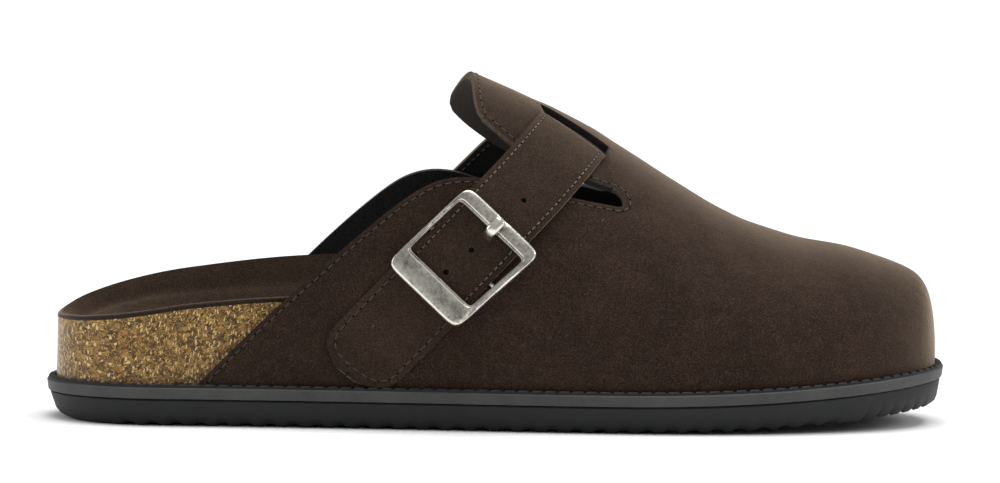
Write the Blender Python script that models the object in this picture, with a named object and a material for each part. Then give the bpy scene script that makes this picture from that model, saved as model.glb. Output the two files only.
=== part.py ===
"""Cork footbed clog for the right foot: sole, cork footbed, hollow suede upper and buckled strap.

Metres, +X to the toe, +Y to the inner side of the foot, +Z up. The origin is on the floor under the
middle of the sole. Places along the shoe are measured from the back of the heel.
"""

import functools
import math
from collections import namedtuple

import bmesh
import bpy
from mathutils import Matrix, Vector

# Overall sizes
LENGTH = 0.285
GAP = 0.0003

# Sole layers
OUTSOLE_HEIGHT = 0.0086
OUTSOLE_INSET = 0.0010
OUTSOLE_TAPER = 0.0044
OUTSOLE_EDGE_IN = 0.60
OUTSOLE_EDGE_UP = 0.26
MIDSOLE_HEIGHT = 0.0036
MIDSOLE_TAPER = 0.0010
TOE_SPRING = 0.0065
TOE_SPRING_START = 0.172
TOE_THINNING = 0.0008
HEEL_LIFT = 0.0018
HEEL_LIFT_LENGTH = 0.016

# Rounded ends of the sole, as reach along the shoe and fullness of the curve
HEEL_REACH = 0.036
HEEL_FULLNESS = 2.15
TOE_REACH = 0.064
TOE_FULLNESS = 2.3

# Tread notches along both edges of the outsole
NOTCH_PITCH = 0.0075
NOTCH_WIDTH = 0.0034
NOTCH_DEPTH = 0.0013
NOTCH_REACH = 0.018
NOTCH_FIRST = 0.022
NOTCH_LAST = 0.250

# Suede cover of the footbed
COVER_THICKNESS = 0.0020
DISH_POWER = 3.0

# Upper: wall, ledge that it leaves on the midsole, rounded toe, slits and tongue
WALL = 0.0020
UPPER_LEDGE = 0.0027
UPPER_TOE_REACH = 0.042
UPPER_TOE_FULLNESS = 3.4
COLLAR_START = 0.0467
SLIT_END = 0.1793
SLIT_ROUND = 0.006
TONGUE_END = 0.1331
TONGUE_SKEW = 0.0072

# Strap slots in the tongue: ends along the shoe, edges as degrees from the crest at the rear end
SLOT_START = 0.1522
SLOT_STOP = 0.1765
SLOT_LOW = 16.7
SLOT_HIGH = 7.2
SLOT_SLANT = 420.0

# Strap and buckle tab: both lie in one slanting plane, given by where it meets the floor and its slope;
# on the inner side the strap runs a little further back
STRAP_PLANE = 0.0764
STRAP_SLOPE = 1.04
STRAP_INNER_BACK = 0.0045
STRAP_BACK_START = 8.0
STRAP_BACK_STOP = 48.0
STRAP_WIDTH = 0.0243
STRAP_THICKNESS = 0.0018
STRAP_UNDER = -0.0046
STRAP_DIVE = 0.66
TAB_WIDTH = 0.0260
TAB_THICKNESS = 0.0016
TAB_END_REACH = 0.011
TAB_END_FULLNESS = 2.6
TAB_TIP = 0.0004
TAB_END = 0.1290
HOLE_PLACES = (0.0248, 0.0024, -0.0088)
HOLE_RADIUS = 0.00095
HOLE_DEPTH = 0.0110
STRAP_TAIL = 0.0055
STRAP_INNER_END = 84.0

# Buckle, in its own plane: X runs down the strap, Y across it, Z outwards
BUCKLE_PLACE = 0.0783
BUCKLE_WINDOW = 0.0226
BUCKLE_WINDOW_WIDTH = 0.0278
UPPER_BAR = 0.0052
WIDE_BAR = 0.0073
RAIL = 0.0025
FRAME_THICKNESS = 0.0022
FRAME_LIFT = 0.0048
FRAME_BEVEL = 0.0005
FRAME_BOW = 0.170
FRAME_FULLNESS = 7.0
WINDOW_FULLNESS = 14.0
PIVOT_PLACE = 0.0010
PIVOT_RADIUS = 0.0007
PIVOT_LIFT = 0.0012
LUG_LENGTH = 0.0030
PRONG_WIDTH = 0.0027
PRONG_THICKNESS = 0.0013
PRONG_HOLE = 0.0042
PRONG_HOLE_PLACE = 0.0092

# Mesh steps: along and across the sole, on the upper and on the bands
SOLE_STEPS = 36
SOLE_ACROSS = 8
QUARTER_STEPS = 16
QUARTER_ROWS = 6
VAMP_STEPS = 20
TONGUE_STEPS = 4
SLOT_STEPS = 5
OUTER_SLOT_ROW = 2
INNER_SLOT_ROW = 7
BAND_ACROSS = 4
STRAP_STEPS = 58
TAB_STEPS = 16
HOLE_SIDES = 12
FRAME_SIDES = 48

# How far the steps crowd towards the toe end of the quarters, the toe and the tip of the tab
QUARTER_CROWDING = 1.3
TOE_CROWDING = 2.3
TAB_CROWDING = 1.8

# Limits: corners closer than this are merged, edges sharper than this stay sharp, and a face whose
# normal rises less than this is a side
WELD = 1e-6
SHARP_ANGLE = 35.0
SIDE_FACE = 0.6
SLOPE_STEP = 1e-5

Finish = namedtuple("Finish", "colour roughness metallic")
RUBBER = Finish((0.017, 0.018, 0.018), 0.75, 0.0)
FOAM = Finish((0.070, 0.070, 0.068), 0.7, 0.0)
CORK = Finish((0.33, 0.20, 0.075), 0.5, 0.0)
SUEDE = Finish((0.046, 0.031, 0.022), 0.95, 0.0)
STRAP_SUEDE = Finish((0.056, 0.039, 0.028), 0.95, 0.0)
NICKEL = Finish((0.42, 0.40, 0.36), 0.35, 1.0)

SoleRow = namedtuple("SoleRow", "along middle half")
SOLE = (
    SoleRow(0.000, -0.0008, 0.0350),
    SoleRow(0.034, -0.0011, 0.0357),
    SoleRow(0.071, -0.0026, 0.0367),
    SoleRow(0.114, -0.0048, 0.0395),
    SoleRow(0.157, -0.0048, 0.0455),
    SoleRow(0.194, -0.0018, 0.0512),
    SoleRow(0.217, 0.0004, 0.0522),
    SoleRow(0.242, 0.0028, 0.0502),
    SoleRow(0.285, 0.0062, 0.0480),
)

# Heights of the suede cover at its outer edge, its floor and its inner edge, and how far the cork's
# foot and rim stand in from the edge of the sole
FootbedRow = namedtuple("FootbedRow", "along outer floor inner foot_inset rim_inset")
FOOTBED = (
    FootbedRow(0.003, 0.0325, 0.0325, 0.0325, 0.0030, 0.0032),
    FootbedRow(0.012, 0.0328, 0.0295, 0.0368, 0.0030, 0.0032),
    FootbedRow(0.028, 0.0348, 0.0269, 0.0416, 0.0032, 0.0036),
    FootbedRow(0.045, 0.0374, 0.0263, 0.0452, 0.0053, 0.0059),
    FootbedRow(0.078, 0.0400, 0.0270, 0.0493, 0.0054, 0.0072),
    FootbedRow(0.110, 0.0390, 0.0285, 0.0500, 0.0054, 0.0084),
    FootbedRow(0.145, 0.0345, 0.0295, 0.0450, 0.0054, 0.0084),
    FootbedRow(0.185, 0.0305, 0.0285, 0.0340, 0.0054, 0.0078),
    FootbedRow(0.225, 0.0285, 0.0270, 0.0300, 0.0056, 0.0080),
    FootbedRow(0.282, 0.0315, 0.0300, 0.0315, 0.0060, 0.0095),
)

# Crest line of the last, and the fullness of its sections at the sides and at the top
UpperRow = namedtuple("UpperRow", "along ridge crest side top")
UPPER = (
    UpperRow(0.0400, -0.0008, 0.1500, 2.0, 2.4),
    UpperRow(0.1320, 0.0032, 0.1102, 2.0, 2.2),
    UpperRow(0.1515, 0.0037, 0.1018, 2.0, 2.1),
    UpperRow(0.1750, 0.0042, 0.0900, 2.0, 2.0),
    UpperRow(0.1985, 0.0047, 0.0756, 2.1, 2.0),
    UpperRow(0.2140, 0.0052, 0.0668, 2.2, 2.1),
    UpperRow(0.2360, 0.0057, 0.0588, 2.3, 2.3),
    UpperRow(0.2535, 0.0060, 0.0558, 2.4, 2.5),
    UpperRow(0.2640, 0.0060, 0.0541, 2.4, 2.5),
    UpperRow(0.2823, 0.0060, 0.0532, 2.5, 2.6),
)

# Heights of the quarters' top edge, from the collar to the end of the slits
EdgeRow = namedtuple("EdgeRow", "along outer inner")
COLLAR = (
    EdgeRow(0.0467, 0.0128, 0.0128),
    EdgeRow(0.0660, 0.0324, 0.0324),
    EdgeRow(0.0880, 0.0527, 0.0545),
    EdgeRow(0.1020, 0.0648, 0.0672),
    EdgeRow(0.1120, 0.0724, 0.0746),
    EdgeRow(0.1205, 0.0768, 0.0775),
    EdgeRow(0.1295, 0.0781, 0.0772),
    EdgeRow(0.1400, 0.0768, 0.0745),
    EdgeRow(0.1640, 0.0717, 0.0745),
    EdgeRow(0.1793, 0.0688, 0.0715),
)

# Heights of the tongue's side edges, along the same slits
TONGUE = (
    EdgeRow(0.1265, 0.1030, 0.0992),
    EdgeRow(0.1320, 0.0988, 0.0938),
    EdgeRow(0.1390, 0.0930, 0.0886),
    EdgeRow(0.1450, 0.0880, 0.0850),
    EdgeRow(0.1560, 0.0819, 0.0810),
    EdgeRow(0.1680, 0.0772, 0.0782),
    EdgeRow(0.1793, 0.0737, 0.0755),
)

# Height of the strap's underside over the outside of the upper, by degrees from the crest; under the
# tongue it lies at STRAP_UNDER, and it dives within the middle STRAP_DIVE share of a slot's width
LiftRow = namedtuple("LiftRow", "angle lift")
STRAP_LIFT = (
    LiftRow(-90.0, 0.0022),
    LiftRow(-60.0, 0.0022),
    LiftRow(-52.0, 0.0012),
    LiftRow(-44.0, 0.0004),
    LiftRow(-30.0, 0.0004),
    LiftRow(90.0, 0.0004),
)

# Side view of the prong, in the buckle's plane
ProngRow = namedtuple("ProngRow", "down out")
PRONG = (
    ProngRow(0.0010, 0.0012),
    ProngRow(-0.0060, 0.0011),
    ProngRow(-0.0085, 0.0016),
    ProngRow(-0.0098, 0.0054),
    ProngRow(-0.0110, 0.0077),
    ProngRow(-0.0130, 0.0077),
    ProngRow(-0.0164, 0.0073),
)


def smooth(rows, column, place):
    """Value of a table's column at a place in its first column, on a smooth curve through its rows."""
    places = [row[0] for row in rows]
    values = [getattr(row, column) for row in rows]
    if place <= places[0]:
        return values[0]
    if place >= places[-1]:
        return values[-1]
    slopes = []
    for i in range(len(rows)):
        low = max(i - 1, 0)
        high = min(i + 1, len(rows) - 1)
        slopes.append((values[high] - values[low]) / (places[high] - places[low]))
    i = max(k for k in range(len(rows) - 1) if places[k] <= place)
    step = places[i + 1] - places[i]
    t = (place - places[i]) / step
    start = (1 + 2 * t) * (1 - t) ** 2 * values[i] + t * (1 - t) ** 2 * step * slopes[i]
    end = t * t * (3 - 2 * t) * values[i + 1] + t * t * (t - 1) * step * slopes[i + 1]
    return start + end


def rounded_end(distance, reach, fullness):
    """Share of the full size that is left at a distance from a rounded end."""
    left = 1 - min(max(distance, 0) / reach, 1)
    return (1 - left**fullness) ** (1 / fullness)


def mix(start, end, share):
    return start + (end - start) * share


def ease(share):
    """Soft step from 0 to 1."""
    share = min(max(share, 0), 1)
    return share * share * (3 - 2 * share)


# Sole


def sole_point(share, across, inset):
    """Place on a layer of the sole: share 0 to 1 from heel to toe, across -1 to 1 from outer to inner."""
    start = inset
    end = LENGTH - inset
    along = mix(start, end, (1 - math.cos(math.pi * share)) / 2)
    heel = rounded_end(along - start, HEEL_REACH - inset, HEEL_FULLNESS)
    toe = rounded_end(end - along, TOE_REACH - inset, TOE_FULLNESS)
    half = (smooth(SOLE, "half", along) - inset) * heel * toe
    return along, smooth(SOLE, "middle", along) + across * half


def toe_spring(along):
    """Rise of the sole's layers towards the toe."""
    share = max(along - TOE_SPRING_START, 0) / (LENGTH - TOE_SPRING_START)
    return TOE_SPRING * share**2


def tread_height(along):
    """Height of the outsole's underside, which is flat from heel to ball."""
    toe = max(along - TOE_SPRING_START, 0) / (LENGTH - TOE_SPRING_START)
    heel = max(HEEL_LIFT_LENGTH - along, 0) / HEEL_LIFT_LENGTH
    return toe_spring(along) + TOE_THINNING * toe**3 + HEEL_LIFT * heel**2


def feather_line(along):
    """Height at which footbed and upper stand on the midsole."""
    return OUTSOLE_HEIGHT + MIDSOLE_HEIGHT + GAP + toe_spring(along)


def cover_height(along, across):
    """Height of the top of the footbed's suede cover."""
    floor = smooth(FOOTBED, "floor", along)
    rim = smooth(FOOTBED, "outer" if across < 0 else "inner", along)
    return toe_spring(along) + mix(floor, rim, abs(across) ** DISH_POWER)


# Last


def upper_section(along):
    """Ridge, outer and inner reach, base height, rise and fullness of the last at one place."""
    tip = LENGTH - UPPER_LEDGE
    base = feather_line(along) + GAP
    rise = smooth(UPPER, "crest", along) - base
    rise *= rounded_end(tip - along, UPPER_TOE_REACH, UPPER_TOE_FULLNESS)
    toe = rounded_end(tip - along, TOE_REACH - UPPER_LEDGE, TOE_FULLNESS)
    half = (smooth(SOLE, "half", along) - UPPER_LEDGE) * toe
    middle = smooth(SOLE, "middle", along)
    ridge = mix(middle, smooth(UPPER, "ridge", along), toe)
    reach = {-1: ridge - middle + half, 1: middle + half - ridge}
    return ridge, reach, base, rise, smooth(UPPER, "side", along), smooth(UPPER, "top", along)


def upper_point(along, angle):
    """Point on the outside of the upper: angle 0 is the crest, -90 degrees the outer feather line."""
    ridge, reach, base, rise, side, top = upper_section(along)
    hand = -1 if angle < 0 else 1
    turn = math.radians(min(abs(angle), 90))
    y = ridge + hand * reach[hand] * math.sin(turn) ** (2 / side)
    z = base + rise * max(math.cos(turn), 0) ** (2 / top)
    return Vector((along - LENGTH / 2, y, z))


def angle_at(along, height, hand):
    """Degrees from the crest at which the upper's section is at a height above the floor."""
    _, _, base, rise, _, top = upper_section(along)
    share = min(max((height - base) / rise, 0), 1)
    return hand * math.degrees(math.acos(share ** (top / 2)))


def outside(point):
    """How far a point is outside the last: 0 on its surface, more than 0 outside it."""
    ridge, reach, base, rise, side, top = upper_section(point.x + LENGTH / 2)
    width = abs(point.y - ridge) / reach[-1 if point.y < ridge else 1]
    return width**side + (max(point.z - base, 0) / rise) ** top - 1


def outward(point):
    """Direction in which the last's distance grows fastest at a point, and how fast."""
    slope = Vector()
    for axis in range(3):
        offset = Vector()
        offset[axis] = SLOPE_STEP
        slope[axis] = (outside(point + offset) - outside(point - offset)) / (2 * SLOPE_STEP)
    return slope


def on_upper(point, lift=0):
    """The point moved onto the last, then lifted off it."""
    for _ in range(6):
        slope = outward(point)
        point = point - slope * (outside(point) / slope.length_squared)
    return point + outward(point).normalized() * lift


# Building blocks


def link_mesh(name, bm):
    """Object in the scene with the mesh that was built."""
    mesh = bpy.data.meshes.new(name)
    bm.to_mesh(mesh)
    bm.free()
    made = bpy.data.objects.new(name, mesh)
    bpy.context.collection.objects.link(made)
    return made


def add_object(name, bm, finish):
    """Piece with its own material, shaded smooth but for its sharp edges."""
    made = link_mesh(name, bm)
    made.data.shade_smooth()
    made.data.set_sharp_from_angle(angle=math.radians(SHARP_ANGLE))
    material = bpy.data.materials.new(name)
    material.use_nodes = True
    shader = material.node_tree.nodes["Principled BSDF"]
    shader.inputs["Base Color"].default_value = (*finish.colour, 1)
    shader.inputs["Roughness"].default_value = finish.roughness
    shader.inputs["Metallic"].default_value = finish.metallic
    made.data.materials.append(material)
    return made


def add_boolean(name, bm, target, operation):
    """Hidden solid that is cut from the target or joined to it."""
    tool = link_mesh(name, bm)
    tool.hide_render = True
    tool.display_type = "WIRE"
    tool.parent = target.parent
    change = target.modifiers.new(name, "BOOLEAN")
    change.operation = operation
    change.solver = "EXACT"
    change.object = tool


def add_wall(target, thickness, offset):
    """Thickens an open sheet into a closed solid."""
    wall = target.modifiers.new("wall", "SOLIDIFY")
    wall.thickness = thickness
    wall.offset = offset
    wall.use_even_offset = True


def sheet(bm, columns, rows, point, left_out=()):
    """Grid of columns by rows whose corners lie at point(column, row), without the faces left out."""
    made = bmesh.ops.create_grid(bm, x_segments=columns, y_segments=rows, size=0.5)["verts"]
    cells = {}
    for vert in made:
        cells[vert] = (round((vert.co.x + 0.5) * columns), round((vert.co.y + 0.5) * rows))
    faces = {face for vert in made for face in vert.link_faces}
    gone = []
    for face in faces:
        corner = tuple(min(cells[v][k] for v in face.verts) for k in (0, 1))
        if corner in left_out:
            gone.append(face)
    bmesh.ops.delete(bm, geom=gone, context="FACES")
    kept = [vert for vert in made if vert.is_valid]
    for vert in kept:
        vert.co = point(*cells[vert])
    return kept


def weld(bm):
    """Merges the corners that sheets share, and turns all faces outwards."""
    bmesh.ops.remove_doubles(bm, verts=bm.verts, dist=WELD)
    bmesh.ops.dissolve_degenerate(bm, edges=bm.edges, dist=WELD)
    bmesh.ops.recalc_face_normals(bm, faces=bm.faces)
    if bm.calc_volume(signed=True) < 0:
        bmesh.ops.reverse_faces(bm, faces=bm.faces)


def layer(top, bottom, edge=None):
    """Closed layer of the sole between two sheets: each is (inset at a place, height at a place).

    An edge (share inwards, share upwards) breaks the side in two, so that its foot is rounded.
    """
    bm = bmesh.new()
    for inset, height in (bottom, top):

        def point(column, row):
            share = column / SOLE_STEPS
            across = 2 * row / SOLE_ACROSS - 1 if 0 < column < SOLE_STEPS else 0
            along = sole_point(share, across, 0)[0]
            along, y = sole_point(share, across, inset(along))
            return Vector((along - LENGTH / 2, y, height(along, across)))

        sheet(bm, SOLE_STEPS, SOLE_ACROSS, point)
        bmesh.ops.remove_doubles(bm, verts=bm.verts, dist=WELD)
    rims = [side for side in bm.edges if side.is_boundary]
    sides = bmesh.ops.bridge_loops(bm, edges=rims)["edges"]
    if edge:
        made = bmesh.ops.subdivide_edges(bm, edges=sides, cuts=1)["geom_inner"]
        for vert in [item for item in made if isinstance(item, bmesh.types.BMVert)]:
            ends = sorted((side.other_vert(vert).co for side in vert.link_edges), key=lambda end: end.z)
            vert.co = ends[0].lerp(ends[-1], edge[0])
            vert.co.z = mix(ends[0].z, ends[-1].z, edge[1])
    weld(bm)
    return bm


# Pieces


def outsole():
    def bottom_inset(along):
        return OUTSOLE_INSET + OUTSOLE_TAPER

    def top_inset(along):
        return OUTSOLE_INSET

    def bottom_height(along, across):
        return tread_height(along)

    def top_height(along, across):
        return OUTSOLE_HEIGHT - GAP + toe_spring(along)

    edge = (OUTSOLE_EDGE_IN, OUTSOLE_EDGE_UP)
    bm = layer((top_inset, top_height), (bottom_inset, bottom_height), edge)
    made = add_object("outsole", bm, RUBBER)
    add_boolean("tread_notches", notches(), made, "DIFFERENCE")


def notches():
    """Wedges that cut the notched edge of the tread, in pairs along the sole."""
    bm = bmesh.new()
    count = round((NOTCH_LAST - NOTCH_FIRST) / NOTCH_PITCH)
    for k in range(count + 1):
        along = NOTCH_FIRST + k * NOTCH_PITCH
        share = math.acos(1 - 2 * along / LENGTH) / math.pi
        for side in (-1, 1):
            edge = sole_point(share, side, 0)[1]
            inner = edge - side * NOTCH_REACH
            outer = edge + side * OUTSOLE_HEIGHT
            wedge(bm, along - LENGTH / 2, inner, outer, tread_height(along))
    bmesh.ops.recalc_face_normals(bm, faces=bm.faces)
    return bm


def wedge(bm, x, inner, outer, height):
    """Three-sided bar across the sole, point up."""
    low = height - NOTCH_DEPTH
    corners = [
        Vector((x - NOTCH_WIDTH, inner, low)),
        Vector((x + NOTCH_WIDTH, inner, low)),
        Vector((x, inner, height + NOTCH_DEPTH)),
    ]
    face = bm.faces.new([bm.verts.new(corner) for corner in corners])
    grown = bmesh.ops.extrude_face_region(bm, geom=[face])["geom"]
    moved = [item for item in grown if isinstance(item, bmesh.types.BMVert)]
    bmesh.ops.translate(bm, verts=moved, vec=Vector((0, outer - inner, 0)))


def midsole():
    def bottom_inset(along):
        return MIDSOLE_TAPER

    def top_inset(along):
        return 0.0

    def bottom_height(along, across):
        return OUTSOLE_HEIGHT + toe_spring(along)

    def top_height(along, across):
        return OUTSOLE_HEIGHT + MIDSOLE_HEIGHT + toe_spring(along)

    bm = layer((top_inset, top_height), (bottom_inset, bottom_height))
    add_object("midsole", bm, FOAM)


def foot_inset(along):
    return smooth(FOOTBED, "foot_inset", along)


def rim_inset(along):
    return smooth(FOOTBED, "rim_inset", along)


def footbed():
    def bottom_height(along, across):
        return feather_line(along)

    def top_height(along, across):
        return cover_height(along, across) - COVER_THICKNESS - GAP

    bm = layer((rim_inset, top_height), (foot_inset, bottom_height))
    add_object("footbed", bm, CORK)


def insole():
    def bottom_height(along, across):
        return cover_height(along, across) - COVER_THICKNESS

    bm = layer((rim_inset, cover_height), (rim_inset, bottom_height))
    add_object("insole", bm, SUEDE)


def slit_edge(rows, hand, along):
    """Angle of one edge of a slit; the edges close to a rounded end."""
    column = "outer" if hand < 0 else "inner"
    height = smooth(rows, column, along)
    middle = (smooth(COLLAR, column, along) + smooth(TONGUE, column, along)) / 2
    height = mix(middle, height, rounded_end(SLIT_END - along, SLIT_ROUND, 2.0))
    return angle_at(along, height, hand)


def slot_edges(along):
    """Degrees from the crest of a slot's lower and upper edge."""
    place = min(max(along, SLOT_START), SLOT_STOP)
    slant = SLOT_SLANT * (place - SLOT_START)
    return SLOT_LOW + slant, SLOT_HIGH + slant


def tongue_angles(along):
    """Angles of the tongue's rows of corners, from outer to inner edge, with a row on each slot edge."""
    low, high = slot_edges(along)
    start = slit_edge(TONGUE, -1, along)
    end = slit_edge(TONGUE, 1, along)
    outer = [start, mix(start, -low, 0.5), -low, -high, -high / 2]
    inner = [high / 2, high, low, mix(low, end, 0.5), end]
    return outer + [0.0] + inner


def quarter_angle(along, hand, row):
    """Angle of a quarter's row of corners, from the feather line to its top edge."""
    return mix(hand * 90, slit_edge(COLLAR, hand, along), row / QUARTER_ROWS)


def vamp_angles():
    """Angles of the vamp's rows of corners, which carry on from quarters and tongue."""
    outer = [quarter_angle(SLIT_END, -1, row) for row in range(QUARTER_ROWS)]
    inner = [quarter_angle(SLIT_END, 1, row) for row in range(QUARTER_ROWS)]
    return outer + tongue_angles(SLIT_END) + inner[::-1]


def tongue_stations():
    """Shares along the tongue of its columns of corners, with a column on each end of the slots."""
    start = (SLOT_START - TONGUE_END) / (SLIT_END - TONGUE_END)
    stop = (SLOT_STOP - TONGUE_END) / (SLIT_END - TONGUE_END)
    rear = [mix(0, start, k / TONGUE_STEPS) for k in range(TONGUE_STEPS)]
    slot = [mix(start, stop, k / SLOT_STEPS) for k in range(SLOT_STEPS)]
    return rear + slot + [stop, mix(stop, 1, 0.5), 1.0]


def upper():
    bm = bmesh.new()
    for hand in (-1, 1):

        def quarter_point(column, row):
            share = 1 - (1 - column / QUARTER_STEPS) ** QUARTER_CROWDING
            along = mix(COLLAR_START, SLIT_END, share)
            return upper_point(along, quarter_angle(along, hand, row))

        sheet(bm, QUARTER_STEPS, QUARTER_ROWS, quarter_point)

    stations = tongue_stations()
    rows = len(tongue_angles(SLIT_END)) - 1
    slots = set()
    for column in range(TONGUE_STEPS, TONGUE_STEPS + SLOT_STEPS):
        slots.add((column, OUTER_SLOT_ROW))
        slots.add((column, INNER_SLOT_ROW))

    def tongue_point(column, row):
        back = TONGUE_SKEW * max(0, 2 * row / rows - 1) * max(0, 1 - column / TONGUE_STEPS)
        along = mix(TONGUE_END, SLIT_END, stations[column]) - back
        return upper_point(along, tongue_angles(along)[row])

    sheet(bm, len(stations) - 1, rows, tongue_point, slots)
    angles = vamp_angles()

    def vamp_point(column, row):
        left = (1 - column / VAMP_STEPS) ** TOE_CROWDING
        along = mix(LENGTH - UPPER_LEDGE, SLIT_END, left)
        return upper_point(along, angles[row])

    sheet(bm, VAMP_STEPS, len(angles) - 1, vamp_point)
    weld(bm)
    made = add_object("upper", bm, SUEDE)
    add_wall(made, WALL, -1)


def strap_centre(angle):
    """Point of the upper on the strap's slanting plane, at an angle from the crest."""
    low = COLLAR_START
    high = SLIT_END
    share = (angle - STRAP_BACK_START) / (STRAP_BACK_STOP - STRAP_BACK_START)
    plane = STRAP_PLANE - STRAP_INNER_BACK * ease(share)
    for _ in range(50):
        along = (low + high) / 2
        if upper_point(along, angle).z > (along - plane) * STRAP_SLOPE:
            low = along
        else:
            high = along
    return upper_point((low + high) / 2, angle)


def band_frame(angle):
    """Middle of a band, its direction from outer to inner side, and the direction across it."""
    middle = strap_centre(angle)
    run = (strap_centre(angle + 0.5) - strap_centre(angle - 0.5)).normalized()
    side = outward(middle).normalized().cross(run).normalized()
    return middle, run, side


def band(angles, half_width, lift):
    """Sheet laid along the strap's plane over the upper, one column of corners for each angle."""
    bm = bmesh.new()
    frames = [band_frame(angle) for angle in angles]

    def point(column, row):
        middle, _, side = frames[column]
        offset = side * (half_width(column) * (2 * row / BAND_ACROSS - 1))
        place = on_upper(middle + offset)
        return on_upper(place, lift(angles[column], place))

    sheet(bm, len(angles) - 1, BAND_ACROSS, point)
    weld(bm)
    return bm


@functools.cache
def strap_line():
    """Pairs of angle and distance from the crest along the strap's plane, outer side first."""
    angles = range(-89, 90)
    points = [strap_centre(angle) for angle in angles]
    distances = [0.0]
    for start, end in zip(points, points[1:]):
        distances.append(distances[-1] + (end - start).length)
    crest = distances[angles.index(0)]
    return [(angle, distance - crest) for angle, distance in zip(angles, distances)]


def strap_angle(distance):
    """Angle from the crest at a distance along the strap's plane, below 0 on the outer side."""
    line = strap_line()
    for (angle, start), (next_angle, end) in zip(line, line[1:]):
        if distance <= end:
            return mix(angle, next_angle, (distance - start) / (end - start))
    return line[-1][0]


def strap():
    start = strap_angle(-BUCKLE_PLACE - BUCKLE_WINDOW / 2 - STRAP_TAIL)
    angles = [mix(start, STRAP_INNER_END, k / STRAP_STEPS) for k in range(STRAP_STEPS + 1)]

    def half_width(column):
        return STRAP_WIDTH / 2

    def lift(angle, place):
        along = place.x + LENGTH / 2
        low, high = slot_edges(along)
        share = (angle_at(along, place.z, 1) - high) / (low - high)
        dive = ease((share - 0.5) / STRAP_DIVE + 0.5)
        return mix(STRAP_UNDER, smooth(STRAP_LIFT, "lift", angle), dive)

    made = add_object("strap", band(angles, half_width, lift), STRAP_SUEDE)
    add_wall(made, STRAP_THICKNESS, 1)
    add_boolean("strap_holes", strap_holes(), made, "DIFFERENCE")


def strap_holes():
    """Round pins at the strap's holes, with a wider one where the prong comes through."""
    bm = bmesh.new()
    for place in HOLE_PLACES:
        pin(bm, HOLE_RADIUS, HOLE_DEPTH, band_matrix(strap_angle(place - BUCKLE_PLACE)))
    pin(bm, PRONG_HOLE / 2, HOLE_DEPTH, band_matrix(strap_angle(PRONG_HOLE_PLACE - BUCKLE_PLACE)))
    return bm


def pin(bm, radius, length, matrix):
    """Round pin along a frame's Z axis."""
    bmesh.ops.create_cone(
        bm,
        cap_ends=True,
        segments=HOLE_SIDES,
        radius1=radius,
        radius2=radius,
        depth=length,
        matrix=matrix,
    )


def band_matrix(angle):
    """Frame on the upper's surface: X down the strap on the outer side, Z outwards."""
    middle, run, side = band_frame(angle)
    turn = Matrix((-run, -side, outward(middle).normalized())).transposed()
    return Matrix.Translation(middle) @ turn.to_4x4()


def buckle_tab():
    start = -BUCKLE_PLACE - PIVOT_PLACE - PIVOT_RADIUS - 2 * GAP
    length = start + TAB_END
    shares = [1 - (1 - k / TAB_STEPS) ** TAB_CROWDING for k in range(TAB_STEPS + 1)]
    angles = [strap_angle(start - share * length) for share in shares]

    def half_width(column):
        left = (1 - shares[column]) * length
        return max(TAB_WIDTH / 2 * rounded_end(left, TAB_END_REACH, TAB_END_FULLNESS), TAB_TIP)

    def lift(angle, place):
        return GAP

    made = add_object("buckle_tab", band(angles, half_width, lift), STRAP_SUEDE)
    add_wall(made, TAB_THICKNESS, 1)


# Buckle


def bow(verts):
    """Bends the frame over the foot."""
    for vert in verts:
        vert.co.z -= vert.co.x**2 / (2 * FRAME_BOW)


def barrel(bm, start, end, half, fullness, height):
    """Loop of corners round a square with bulging sides."""
    corners = []
    for k in range(FRAME_SIDES):
        turn = 2 * math.pi * (k + 0.5) / FRAME_SIDES
        size = (abs(math.cos(turn)) ** fullness + abs(math.sin(turn)) ** fullness) ** (-1 / fullness)
        x = mix(start, end, (1 + size * math.cos(turn)) / 2)
        corners.append(bm.verts.new((x, half * size * math.sin(turn), height)))
    return [bm.edges.new((corners[k - 1], corners[k])) for k in range(FRAME_SIDES)]


def buckle_frame(place):
    bm = bmesh.new()
    window = BUCKLE_WINDOW / 2
    outer_half = BUCKLE_WINDOW_WIDTH / 2 + RAIL
    rim = barrel(bm, -window - UPPER_BAR, window + WIDE_BAR, outer_half, FRAME_FULLNESS, FRAME_LIFT)
    rim += barrel(bm, -window, window, BUCKLE_WINDOW_WIDTH / 2, WINDOW_FULLNESS, FRAME_LIFT)
    faces = bmesh.ops.bridge_loops(bm, edges=rim)["faces"]
    grown = bmesh.ops.extrude_face_region(bm, geom=faces)["geom"]
    top = [item for item in grown if isinstance(item, bmesh.types.BMVert)]
    bmesh.ops.translate(bm, verts=top, vec=Vector((0, 0, FRAME_THICKNESS)))
    bmesh.ops.recalc_face_normals(bm, faces=bm.faces)
    edges = [edge for edge in bm.edges if is_top_rim(edge)]
    bmesh.ops.bevel(bm, geom=edges, offset=FRAME_BEVEL, segments=2, profile=0.5, affect="EDGES")
    bow(bm.verts)
    bmesh.ops.recalc_face_normals(bm, faces=bm.faces)
    made = add_object("buckle_frame", bm, NICKEL)
    made.parent = place
    lugs = bmesh.new()
    for hand in (-1, 1):
        size = Vector((LUG_LENGTH, RAIL - 2 * GAP, FRAME_LIFT))
        middle = Vector((PIVOT_PLACE, hand * (outer_half - RAIL / 2), FRAME_LIFT / 2 + PIVOT_LIFT / 2))
        box = Matrix.Translation(middle) @ Matrix.Diagonal(size).to_4x4()
        bmesh.ops.create_cube(lugs, size=1, matrix=box)
    add_boolean("buckle_lugs", lugs, made, "UNION")


def is_top_rim(edge):
    """Whether an edge runs round the frame's upper face."""
    ups = sorted(abs(face.normal.z) for face in edge.link_faces)
    high = min(vert.co.z for vert in edge.verts) > FRAME_LIFT + FRAME_THICKNESS / 2
    return high and ups[0] < SIDE_FACE < ups[-1]


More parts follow.
